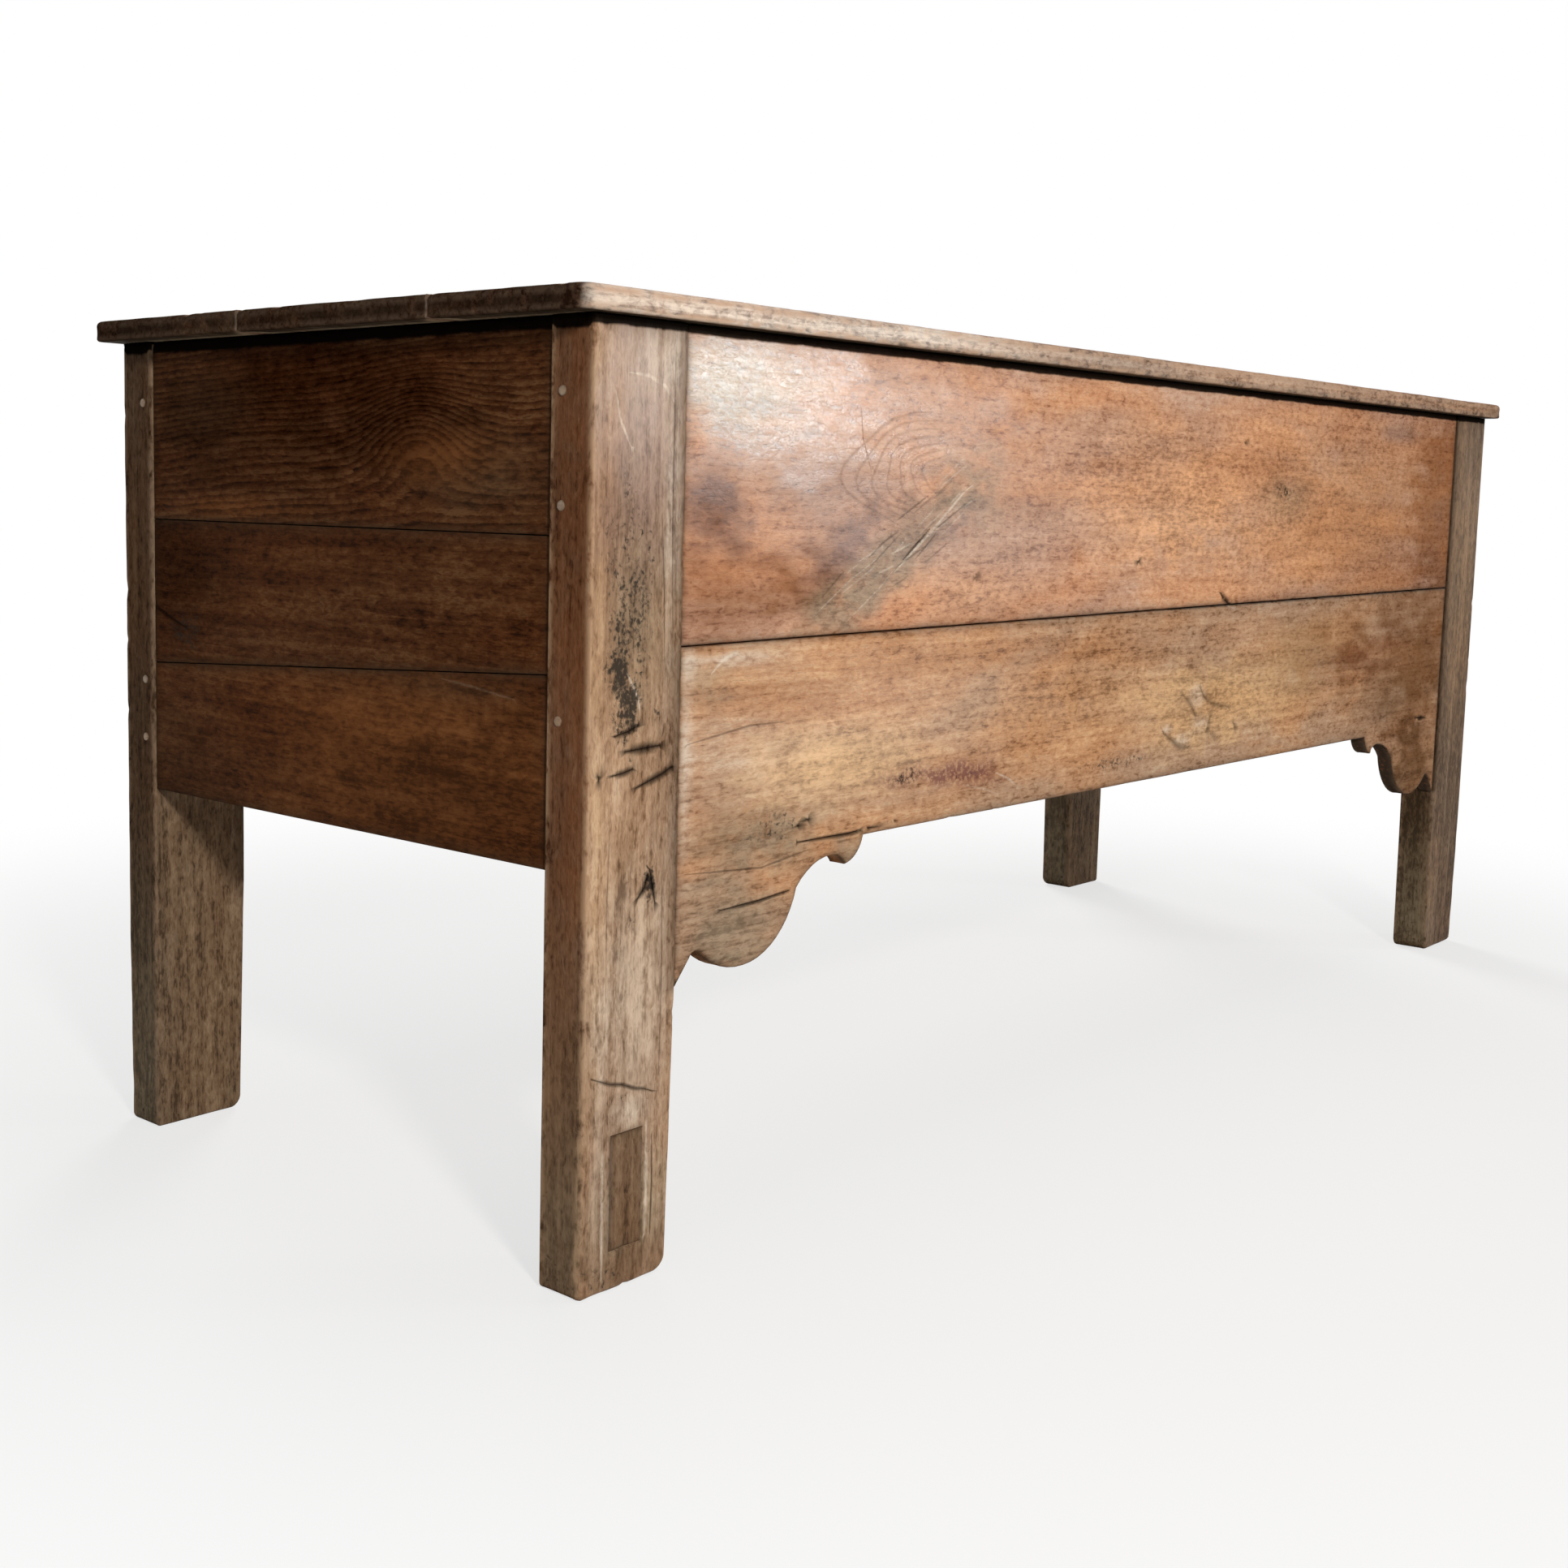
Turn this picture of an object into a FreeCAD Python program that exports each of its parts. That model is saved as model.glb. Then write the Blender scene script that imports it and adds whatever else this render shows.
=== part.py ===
import FreeCAD, Part
import itertools
import operator
import os

import Sketcher
from FreeCAD import Placement, Rotation, Vector

# A plank chest with a lift lid. Millimetres, +Z up, +X along its length, front towards -Y.
# The origin is on the floor, under the middle of the lid.
doc = FreeCAD.newDocument("plank_chest")
sheet = doc.addObject("Spreadsheet::Sheet", "sizes")
rows = itertools.count(1)
pieces = []

ARITHMETIC = {"+": operator.add, "-": operator.sub, "*": operator.mul, "/": operator.truediv}
RIGHT = Vector(1, 0, 0)
BACK = Vector(0, 1, 0)
UP = Vector(0, 0, 1)
TINY = 1e-6


class Size:
    """A length: its formula in the sheet's aliases, and the number that it starts from."""

    def __init__(self, formula, value):
        self.formula = formula
        self.value = value

    def __add__(self, other):
        return joined(self, "+", other)

    def __sub__(self, other):
        return joined(self, "-", other)

    def __mul__(self, other):
        return joined(self, "*", other)

    def __truediv__(self, other):
        return joined(self, "/", other)

    def __neg__(self):
        return joined(0, "-", self)


def as_size(amount):
    return amount if isinstance(amount, Size) else Size(str(amount), amount)


def joined(left, sign, right):
    """Two sizes, or a size and a number, joined by an arithmetic sign."""
    left = as_size(left)
    right = as_size(right)
    return Size(f"({left.formula} {sign} {right.formula})", ARITHMETIC[sign](left.value, right.value))


def size(alias, millimetres):
    """Keep a driving dimension in the next row of the sheet, under its alias."""
    row = next(rows)
    sheet.set(f"A{row}", alias)
    sheet.set(f"B{row}", str(millimetres))
    sheet.setAlias(f"B{row}", alias)
    return Size(f"sizes.{alias}", millimetres)


# Carcass and legs
carcass_length = size("carcass_length", 1860)
carcass_depth = size("carcass_depth", 648)
leg_height = size("leg_height", 780)
leg_width = size("leg_width", 107)
leg_depth = size("leg_depth", 48)
leg_corner_radius = size("leg_corner_radius", 6)
foot_bevel = size("foot_bevel", 4)

# Patch let into the front of the near leg
patch_width = size("patch_width", 38)
patch_height = size("patch_height", 97)
patch_depth = size("patch_depth", 8)
patch_inset = size("patch_inset", 33)
patch_bottom = size("patch_bottom", 34)

# Tongues of the boards, housed in grooves in the legs
tongue_length = size("tongue_length", 24)
tongue_thickness = size("tongue_thickness", 10)
tongue_end_gap = size("tongue_end_gap", 1)
seam_gap = size("seam_gap", 0.8)

# Front boards, whose seam climbs to the right
front_thickness = size("front_thickness", 20)
front_recess = size("front_recess", 2)
front_upper_width = size("front_upper_width", 258.2)
front_lower_width_left = size("front_lower_width_left", 184)
front_lower_width_right = size("front_lower_width_right", 197)

# Scroll of the lower front board, stretch by stretch from the leg to its nose
scroll_drop = size("scroll_drop", 101)
notch_start = size("notch_start", 21)
notch_rise = size("notch_rise", 25)
notch_width = size("notch_width", 15)
notch_crown = size("notch_crown", 4.5)
lobe_length = size("lobe_length", 125)
lobe_bulge = size("lobe_bulge", 37.5)
lobe_end_drop = size("lobe_end_drop", 36)
cove_length = size("cove_length", 51)
cove_hollow = size("cove_hollow", 6.5)
cove_top_drop = size("cove_top_drop", 13)
hook_length = size("hook_length", 20)
hook_hollow = size("hook_hollow", 3.5)
hook_drop = size("hook_drop", 24)
nose_length = size("nose_length", 26)
nose_bulge = size("nose_bulge", 7)

# End boards, whose lower seam falls to the rear
end_thickness = size("end_thickness", 20)
end_recess = size("end_recess", 3)
end_rise = size("end_rise", 8)
end_lower_width_front = size("end_lower_width_front", 157)
end_lower_width_rear = size("end_lower_width_rear", 124)
end_middle_width = size("end_middle_width", 107.2)

# Back boards
back_thickness = size("back_thickness", 18)
back_recess = size("back_recess", 2)
back_lower_width = size("back_lower_width", 150)
back_upper_width = size("back_upper_width", 145)

# Pegs that pin the end boards in the legs
peg_diameter = size("peg_diameter", 9)
peg_depth = size("peg_depth", 36)
peg_proud = size("peg_proud", 0.6)
peg_inset = size("peg_inset", 14)
top_peg_drop = size("top_peg_drop", 58)
upper_seam_peg_rise = size("upper_seam_peg_rise", 24)
lower_seam_peg_drop_front = size("lower_seam_peg_drop_front", 36)
lower_seam_peg_drop_rear = size("lower_seam_peg_drop_rear", 16)
bottom_peg_rise = size("bottom_peg_rise", 51)

# Floor boards on their ledgers
FLOOR_BOARDS = 7
ledger_depth = size("ledger_depth", 25)
ledger_height = size("ledger_height", 25)
floor_thickness = size("floor_thickness", 18)
floor_gap = size("floor_gap", 1)
floor_clearance = size("floor_clearance", 1.5)

# Lid and its battens
lid_thickness = size("lid_thickness", 20)
lid_end_overhang = size("lid_end_overhang", 26)
lid_side_overhang = size("lid_side_overhang", 15)
lid_front_width = size("lid_front_width", 179)
lid_rear_width = size("lid_rear_width", 240)
lid_joint_gap = size("lid_joint_gap", 0.6)
lid_edge_radius = size("lid_edge_radius", 5)
lid_corner_radius = size("lid_corner_radius", 14)
batten_width = size("batten_width", 70)
batten_thickness = size("batten_thickness", 22)
batten_inset = size("batten_inset", 120)
batten_front_gap = size("batten_front_gap", 6)
batten_rear_gap = size("batten_rear_gap", 14)
batten_bevel = size("batten_bevel", 4)

# Strap hinges
strap_batten_gap = size("strap_batten_gap", 139)
strap_length = size("strap_length", 300)
strap_width = size("strap_width", 36)
strap_tip_width = size("strap_tip_width", 18)
strap_tip_bow = size("strap_tip_bow", 9)
strap_thickness = size("strap_thickness", 3)
strap_shoulder_gap = size("strap_shoulder_gap", 2.5)
strap_slot_clearance = size("strap_slot_clearance", 1.5)
leaf_length = size("leaf_length", 110)
leaf_width = size("leaf_width", 46)
leaf_thickness = size("leaf_thickness", 3)
knuckle_wall = size("knuckle_wall", 3)
knuckle_length = size("knuckle_length", 20)
knuckle_gap = size("knuckle_gap", 0.5)
knuckle_clearance = size("knuckle_clearance", 0.4)
pin_diameter = size("pin_diameter", 6)
pin_clearance = size("pin_clearance", 0.05)
pin_end = size("pin_end", 2)

# Forged nails
LEDGER_NAILS = 5
STRAP_NAILS = 4
LEAF_NAILS = 3
nail_diameter = size("nail_diameter", 4)
nail_head_diameter = size("nail_head_diameter", 10)
nail_crown_diameter = size("nail_crown_diameter", 4)
nail_head_height = size("nail_head_height", 2.5)
nail_bite = size("nail_bite", 12)
nail_edge = size("nail_edge", 45)
ledger_nail_rise = size("ledger_nail_rise", 8)
batten_nail_edge = size("batten_nail_edge", 35)
strap_nail_start = size("strap_nail_start", 60)
strap_nail_end = size("strap_nail_end", 30)
leaf_nail_start = size("leaf_nail_start", 30)
leaf_nail_end = size("leaf_nail_end", 16)

# Places worked out from the sizes
half_length = carcass_length / 2
half_depth = carcass_depth / 2
leg_inner_x = half_length - leg_width
leg_inner_y = half_depth - leg_depth
groove_depth = tongue_length + tongue_end_gap
tongue_tip_x = leg_inner_x + tongue_length
tongue_tip_y = leg_inner_y + tongue_length
front_face = front_recess - half_depth
front_inner = front_face + front_thickness
back_face = half_depth - back_recess
back_inner = back_face - back_thickness
end_face = half_length - end_recess
end_inner = end_face - end_thickness
front_seam = leg_height - front_upper_width - seam_gap
box_bottom = front_seam - front_lower_width_left
scroll_tip = box_bottom - scroll_drop
end_bottom = box_bottom + end_rise
end_lower_seam_front = end_bottom + end_lower_width_front
end_lower_seam_rear = end_bottom + end_lower_width_rear
end_upper_seam = end_lower_seam_front + seam_gap + end_middle_width
floor_bottom = box_bottom + ledger_height
floor_top = floor_bottom + floor_thickness
lid_half_length = half_length + lid_end_overhang
lid_half_depth = half_depth + lid_side_overhang
lid_front_joint = lid_front_width - lid_half_depth
lid_rear_joint = lid_half_depth - lid_rear_width
batten_x = end_inner - batten_inset - batten_width / 2
batten_front = front_inner + batten_front_gap
batten_rear = back_inner - batten_rear_gap
batten_bottom = leg_height - batten_thickness
knuckle_radius = pin_diameter / 2 + knuckle_wall
hinge_axis_y = back_face + knuckle_radius + knuckle_clearance
hinge_axis_z = leg_height - knuckle_radius - knuckle_clearance
hinge_reach = batten_x - batten_width / 2 - strap_batten_gap - strap_width / 2
hinge_x = {"left": -hinge_reach, "right": hinge_reach}
strap_bottom = leg_height - strap_thickness
strap_nail_pitch = (strap_length - strap_nail_start - strap_nail_end) / (STRAP_NAILS - 1)
leaf_nail_pitch = (leaf_length - leaf_nail_start - leaf_nail_end) / (LEAF_NAILS - 1)


def bind(item, **amounts):
    """Tie an object's properties to the sheet."""
    for name, amount in amounts.items():
        item.setExpression(name, as_size(amount).formula)


def place(item, spot, direction=UP):
    """Put an object at a point, with its own Z axis along a direction."""
    item.Placement = Placement(Vector(), Rotation(UP, direction))
    for axis, amount in zip("xyz", spot):
        item.setExpression(f"Placement.Base.{axis}", as_size(amount).formula)


def new_piece(label):
    """An empty body for one wooden or iron piece."""
    body = doc.addObject("PartDesign::Body", label)
    body.Label = label
    pieces.append(body)
    return body


def block(body, corner, span, kind="Additive"):
    """A box from its lowest corner, added to a piece or cut from it."""
    box = body.newObject(f"PartDesign::{kind}Box", "block")
    bind(box, Length=span[0], Width=span[1], Height=span[2])
    place(box, corner)
    return box


def cut(body, corner, span):
    return block(body, corner, span, "Subtractive")


def rod(body, start, direction, diameter, length, kind="Additive"):
    """A round rod from its start, added to a piece or cut from it."""
    cylinder = body.newObject(f"PartDesign::{kind}Cylinder", "rod")
    bind(cylinder, Radius=as_size(diameter) / 2, Height=length)
    place(cylinder, start, direction)
    return cylinder


def drill(body, start, direction, diameter, depth):
    return rod(body, start, direction, diameter, depth, "Subtractive")


def edges_where(feature, test):
    """The names of a feature's edges whose bounds pass a test, given the bounds of the whole."""
    doc.recompute()
    whole = feature.Shape.BoundBox
    edges = enumerate(feature.Shape.Edges, 1)
    return [f"Edge{number}" for number, edge in edges if test(edge.BoundBox, whole)]


def rounded(body, feature, radius, test):
    fillet = body.newObject("PartDesign::Fillet", "rounding")
    fillet.Base = (feature, edges_where(feature, test))
    bind(fillet, Radius=radius)
    return fillet


def bevelled(body, feature, width, test):
    chamfer = body.newObject("PartDesign::Chamfer", "bevel")
    chamfer.Base = (feature, edges_where(feature, test))
    bind(chamfer, Size=width)
    return chamfer


def spot_of(corner):
    return Vector(as_size(corner[0]).value, as_size(corner[1]).value, 0)


def end_at(sketch, edge, corner):
    """Which end of a sketched edge, 1 or 2, lies at a corner."""
    return min((1, 2), key=lambda end: sketch.getPoint(edge, end).distanceToPoint(spot_of(corner)))


def pin_down(sketch, edge, end, corner):
    """Tie one point of a sketch to its two distances from the sketch's origin."""
    for kind, amount in zip(("DistanceX", "DistanceY"), map(as_size, corner)):
        number = sketch.addConstraint(Sketcher.Constraint(kind, -1, 1, edge, end, amount.value))
        sketch.setExpression(f"Constraints[{number}]", amount.formula)


def trace(sketch, corners, bends):
    """Draw a closed outline; bends names the corners that start an arc, and a point on each arc."""
    for index, corner in enumerate(corners):
        following = corners[(index + 1) % len(corners)]
        if index in bends:
            edge = Part.Arc(spot_of(corner), spot_of(bends[index]), spot_of(following))
        else:
            edge = Part.LineSegment(spot_of(corner), spot_of(following))
        sketch.addGeometry(edge, False)
    for index, corner in enumerate(corners):
        before = (index - 1) % len(corners)
        start = end_at(sketch, index, corner)
        sketch.addConstraint(
            Sketcher.Constraint("Coincident", before, end_at(sketch, before, corner), index, start))
        pin_down(sketch, index, start, corner)
    for index, spot in bends.items():
        point = sketch.addGeometry(Part.Point(spot_of(spot)), True)
        pin_down(sketch, point, 1, spot)
        sketch.addConstraint(Sketcher.Constraint("PointOnObject", point, 1, index))


def plate(body, plane, level, thickness, corners, bends=None):
    """A flat piece of any outline, from a level along the axis square to its plane."""
    sketch = body.newObject("Sketcher::SketchObject", "outline")
    origin_plane = next(item for item in body.Origin.OriginFeatures if item.Role == plane)
    sketch.AttachmentSupport = (origin_plane, [""])
    sketch.MapMode = "FlatFace"
    backward = plane == "XZ_Plane"
    bind(sketch, **{"AttachmentOffset.Base.z": -level if backward else level})
    trace(sketch, corners, bends or {})
    pad = body.newObject("PartDesign::Pad", "plate")
    pad.Profile = sketch
    pad.Reversed = backward
    bind(pad, Length=thickness)
    return pad


def group(label, items):
    """Separate solids kept together in one node."""
    compound = doc.addObject("Part::Compound", label)
    compound.Label = label
    compound.Links = items
    pieces.append(compound)


def nails(label, length, heads):
    """Forged nails with a low faceted head; heads gives where each meets the wood and its way in."""
    nail = doc.addObject("PartDesign::Body", f"{label}_shape")
    rod(nail, (0, 0, 0), UP, nail_diameter, length)
    crown = nail.newObject("PartDesign::AdditiveCone", "crown")
    bind(crown, Radius1=nail_crown_diameter / 2, Radius2=nail_head_diameter / 2, Height=nail_head_height)
    place(crown, (0, 0, -nail_head_height))
    copies = []
    for spot, direction in heads:
        copy = doc.addObject("App::Link", f"{label}_copy")
        copy.LinkedObject = nail
        place(copy, spot, direction)
        copies.append(copy)
    group(label, copies)


# Pegs, by the end of the chest and the leg that holds them
PEG_HEIGHTS = {
    "front": {
        "upper": [leg_height - top_peg_drop, end_upper_seam + upper_seam_peg_rise],
        "lower": [end_lower_seam_front - lower_seam_peg_drop_front],
    },
    "rear": {
        "upper": [leg_height - top_peg_drop],
        "lower": [end_lower_seam_rear - lower_seam_peg_drop_rear, end_bottom + bottom_peg_rise],
    },
}
PEG_Y = {"front": -leg_inner_y - peg_inset, "rear": leg_inner_y + peg_inset}
PEG_X = {"left": -half_length - peg_proud, "right": half_length + peg_proud}
INWARD = {"left": RIGHT, "right": -RIGHT}
peg_length = peg_depth + peg_proud


def peg_spots(side, row, board):
    return [(PEG_X[side], PEG_Y[row], height) for height in PEG_HEIGHTS[row][board]]


def drill_pegs(body, side, row, board):
    for spot in peg_spots(side, row, board):
        drill(body, spot, INWARD[side], peg_diameter, peg_length)


def make_pegs(side):
    pegs = []
    for row, board in itertools.product(("front", "rear"), ("upper", "lower")):
        for spot in peg_spots(side, row, board):
            peg = doc.addObject("Part::Cylinder", f"peg_{side}")
            bind(peg, Radius=peg_diameter / 2, Height=peg_length)
            place(peg, spot, INWARD[side])
            pegs.append(peg)
    group(f"end_pegs_{side}", pegs)


# Legs
def make_leg(row, side):
    """A stile leg, grooved for the long boards on its inner side and for the end boards on its edge."""
    body = new_piece(f"leg_{row}_{side}")
    leg_x = -half_length if side == "left" else leg_inner_x
    leg_y = -half_depth if row == "front" else leg_inner_y
    timber = block(body, (leg_x, leg_y, 0), (leg_width, leg_depth, leg_height))

    def outer_corner(edge, whole):
        across = edge.XMin - whole.XMin if side == "left" else whole.XMax - edge.XMax
        along = edge.YMin - whole.YMin if row == "front" else whole.YMax - edge.YMax
        return edge.ZLength > TINY and max(edge.XLength, edge.YLength, across, along) < TINY

    def foot_rim(edge, whole):
        return edge.ZMax - whole.ZMin < TINY

    timber = rounded(body, timber, leg_corner_radius, outer_corner)
    bevelled(body, timber, foot_bevel, foot_rim)

    long_groove_x = -leg_inner_x - groove_depth if side == "left" else leg_inner_x
    long_groove_y = front_inner - tongue_thickness if row == "front" else back_inner
    long_groove_z = scroll_tip if row == "front" else box_bottom
    cut(body, (long_groove_x, long_groove_y, long_groove_z),
        (groove_depth, tongue_thickness, leg_height - long_groove_z))

    end_groove_x = -end_inner - tongue_thickness if side == "left" else end_inner
    end_groove_y = -leg_inner_y - groove_depth if row == "front" else leg_inner_y
    cut(body, (end_groove_x, end_groove_y, end_bottom),
        (tongue_thickness, groove_depth, leg_height - end_bottom))

    for board in ("upper", "lower"):
        drill_pegs(body, side, row, board)
    return body


PATCH_CORNER = (patch_inset - half_length, -half_depth, patch_bottom)
PATCH_SPAN = (patch_width, patch_depth, patch_height)


def make_legs():
    for row, side in itertools.product(("front", "rear"), ("left", "right")):
        leg = make_leg(row, side)
        if (row, side) == ("front", "left"):
            cut(leg, PATCH_CORNER, PATCH_SPAN)
    block(new_piece("leg_patch"), PATCH_CORNER, PATCH_SPAN)


# Front boards
def scroll_corners():
    """The lower board's outline along the left scroll, from the leg to the nose, and its arcs."""
    notch_x = notch_start - leg_inner_x
    lobe_x = notch_x + notch_width
    cove_x = lobe_x + lobe_length
    hook_x = cove_x + cove_length
    nose_x = hook_x + hook_length
    notch_z = scroll_tip + notch_rise
    cove_z = box_bottom - lobe_end_drop
    hook_z = box_bottom - cove_top_drop
    nose_z = box_bottom - hook_drop
    corners = [
        (-leg_inner_x, scroll_tip), (notch_x, notch_z), (lobe_x, notch_z), (cove_x, cove_z),
        (hook_x, hook_z), (nose_x, nose_z), (nose_x + nose_length, box_bottom),
    ]
    bends = {
        1: (notch_x + notch_width / 2, notch_z + notch_crown),
        2: (lobe_x + lobe_length / 2, (notch_z + cove_z) / 2 - lobe_bulge),
        3: (cove_x + cove_length / 2, (cove_z + hook_z) / 2 + cove_hollow),
        4: (hook_x + hook_length / 2, (hook_z + nose_z) / 2 + hook_hollow),
        5: (nose_x + nose_length / 2, (nose_z + box_bottom) / 2 - nose_bulge),
    }
    return corners, bends


def mirrored(corner):
    return (-corner[0], corner[1])


def rebate_ends(body, bottom):
    """Cut the front of a front board away at its ends, so that a bare-faced tongue is left."""
    for end_x in (-tongue_tip_x, leg_inner_x):
        cut(body, (end_x, front_face, bottom),
            (tongue_length, front_thickness - tongue_thickness, leg_height - bottom))


def make_front_boards():
    seam_left = front_seam
    seam_right = box_bottom + front_lower_width_right
    scroll, bends = scroll_corners()
    last = len(scroll) * 2 - 1
    corners = [(-tongue_tip_x, scroll_tip)] + scroll + [mirrored(corner) for corner in reversed(scroll)]
    corners += [(tongue_tip_x, scroll_tip), (tongue_tip_x, seam_right), (-tongue_tip_x, seam_left)]
    arcs = {index + 1: spot for index, spot in bends.items()}
    arcs.update({last - index: mirrored(spot) for index, spot in bends.items()})
    lower = new_piece("front_board_lower")
    plate(lower, "XZ_Plane", front_face, front_thickness, corners, arcs)
    rebate_ends(lower, scroll_tip)

    upper = new_piece("front_board_upper")
    corners = [
        (-tongue_tip_x, seam_left + seam_gap), (tongue_tip_x, seam_right + seam_gap),
        (tongue_tip_x, leg_height), (-tongue_tip_x, leg_height),
    ]
    plate(upper, "XZ_Plane", front_face, front_thickness, corners)
    rebate_ends(upper, seam_left + seam_gap)
    return lower


# End boards
def make_end_boards(side):
    low_edges = {
        "lower": (end_bottom, end_bottom),
        "middle": (end_lower_seam_front + seam_gap, end_lower_seam_rear + seam_gap),
        "upper": (end_upper_seam + seam_gap, end_upper_seam + seam_gap),
    }
    high_edges = {
        "lower": (end_lower_seam_front, end_lower_seam_rear),
        "middle": (end_upper_seam, end_upper_seam),
        "upper": (leg_height, leg_height),
    }
    level = -end_face if side == "left" else end_inner
    rebate_x = -end_face if side == "left" else end_inner + tongue_thickness
    for board in ("lower", "middle", "upper"):
        body = new_piece(f"end_board_{side}_{board}")
        low_front, low_rear = low_edges[board]
        high_front, high_rear = high_edges[board]
        corners = [
            (-tongue_tip_y, low_front), (tongue_tip_y, low_rear),
            (tongue_tip_y, high_rear), (-tongue_tip_y, high_front),
        ]
        plate(body, "YZ_Plane", level, end_thickness, corners)
        for end_y in (-tongue_tip_y, leg_inner_y):
            cut(body, (rebate_x, end_y, end_bottom),
                (end_thickness - tongue_thickness, tongue_length, leg_height - end_bottom))
        if board != "middle":
            for row in ("front", "rear"):
                drill_pegs(body, side, row, board)


# Back boards
def make_back_boards():
    """Three level boards; the top one is slotted for the hinge straps."""
    lower_seam = box_bottom + back_lower_width
    upper_seam = leg_height - back_upper_width
    levels = {
        "lower": (box_bottom, lower_seam),
        "middle": (lower_seam + seam_gap, upper_seam),
        "upper": (upper_seam + seam_gap, leg_height),
    }
    boards = {}
    for board, (low, high) in levels.items():
        body = new_piece(f"back_board_{board}")
        block(body, (-tongue_tip_x, back_inner, low), (tongue_tip_x * 2, back_thickness, high - low))
        for end_x in (-tongue_tip_x, leg_inner_x):
            cut(body, (end_x, back_inner + tongue_thickness, low),
                (tongue_length, back_thickness - tongue_thickness, high - low))
        boards[board] = body
    slot_width = strap_width + strap_slot_clearance * 2
    slot_depth = strap_thickness + strap_slot_clearance
    for side in ("left", "right"):
        cut(boards["upper"], (hinge_x[side] - slot_width / 2, back_inner, leg_height - slot_depth),
            (slot_width, back_thickness, slot_depth))
    return boards


# Ledgers and floor boards
def ledger_nail_heads(row):
    spacing = leg_inner_x * 2 / LEDGER_NAILS
    face = front_inner + ledger_depth if row == "front" else back_inner - ledger_depth
    direction = -BACK if row == "front" else BACK
    xs = [spacing * (index + 0.5) - leg_inner_x for index in range(LEDGER_NAILS)]
    return [((x, face, box_bottom + ledger_nail_rise), direction) for x in xs]


def floor_board_ends(index):
    """The left and right edges of a floor board."""
    span = (end_inner - floor_clearance) * 2
    pitch = (span + floor_gap) / FLOOR_BOARDS
    left = pitch * index - span / 2
    return left, left + pitch - floor_gap


def floor_nail_heads(index):
    left, right = floor_board_ends(index)
    near_left = (-leg_inner_x if index == 0 else left) + nail_edge
    near_right = (leg_inner_x if index == FLOOR_BOARDS - 1 else right) - nail_edge
    ledger_middle = (front_inner + ledger_depth / 2, back_inner - ledger_depth / 2)
    return [((x, y, floor_top), -UP) for x in (near_left, near_right) for y in ledger_middle]


def make_floor(front_board, back_board):
    nail_length = ledger_depth + nail_bite
    floor_nail_length = floor_thickness + nail_bite
    ledger_heads = []
    floor_heads = []
    ledgers = []
    for row, board in (("front", front_board), ("rear", back_board)):
        ledger = new_piece(f"ledger_{row}")
        ledger_y = front_inner if row == "front" else back_inner - ledger_depth
        block(ledger, (-leg_inner_x, ledger_y, box_bottom), (leg_inner_x * 2, ledger_depth, ledger_height))
        for spot, direction in ledger_nail_heads(row):
            drill(ledger, spot, direction, nail_diameter, nail_length)
            drill(board, spot, direction, nail_diameter, nail_length)
        ledger_heads += ledger_nail_heads(row)
        ledgers.append(ledger)

    floor_front = front_inner + floor_clearance
    floor_rear = back_inner - floor_clearance
    for index in range(FLOOR_BOARDS):
        body = new_piece(f"floor_board_{index + 1}")
        left, right = floor_board_ends(index)
        block(body, (left, floor_front, floor_bottom),
              (right - left, floor_rear - floor_front, floor_thickness))
        notch = leg_width + floor_clearance
        notch_depth = leg_depth + floor_clearance
        notch_x = {0: -half_length, FLOOR_BOARDS - 1: half_length - notch}.get(index)
        if notch_x:
            for notch_y in (-half_depth, half_depth - notch_depth):
                cut(body, (notch_x, notch_y, floor_bottom), (notch, notch_depth, floor_thickness))
        for spot, direction in floor_nail_heads(index):
            for pierced in [body] + ledgers:
                drill(pierced, spot, direction, nail_diameter, floor_nail_length)
        floor_heads += floor_nail_heads(index)
    nails("ledger_nails", nail_length, ledger_heads)
    nails("floor_nails", floor_nail_length, floor_heads)


# Lid boards and battens
LID_EDGES = {
    "front": (-lid_half_depth, lid_front_joint),
    "middle": (lid_front_joint + lid_joint_gap, lid_rear_joint),
    "rear": (lid_rear_joint + lid_joint_gap, lid_half_depth),
}
BATTEN_X = {"left": -batten_x, "middle": Size("0", 0), "right": batten_x}


def make_lid_board(board):
    """A lid board with its outer corners and outer edges rounded."""
    body = new_piece(f"lid_board_{board}")
    low, high = LID_EDGES[board]
    timber = block(body, (-lid_half_length, low, leg_height),
                   (lid_half_length * 2, high - low, lid_thickness))

    def outer_side(edge, whole):
        at_front = board == "front" and edge.YMax - whole.YMin < TINY
        at_rear = board == "rear" and whole.YMax - edge.YMin < TINY
        return at_front or at_rear

    def outer_corner(edge, whole):
        return edge.ZLength > TINY and outer_side(edge, whole)

    def outer_rim(edge, whole):
        across_joint = edge.YLength < TINY and not outer_side(edge, whole)
        return edge.ZLength < TINY and not across_joint

    if board != "middle":
        timber = rounded(body, timber, lid_corner_radius, outer_corner)
    rounded(body, timber, lid_edge_radius, outer_rim)
    return body


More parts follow.
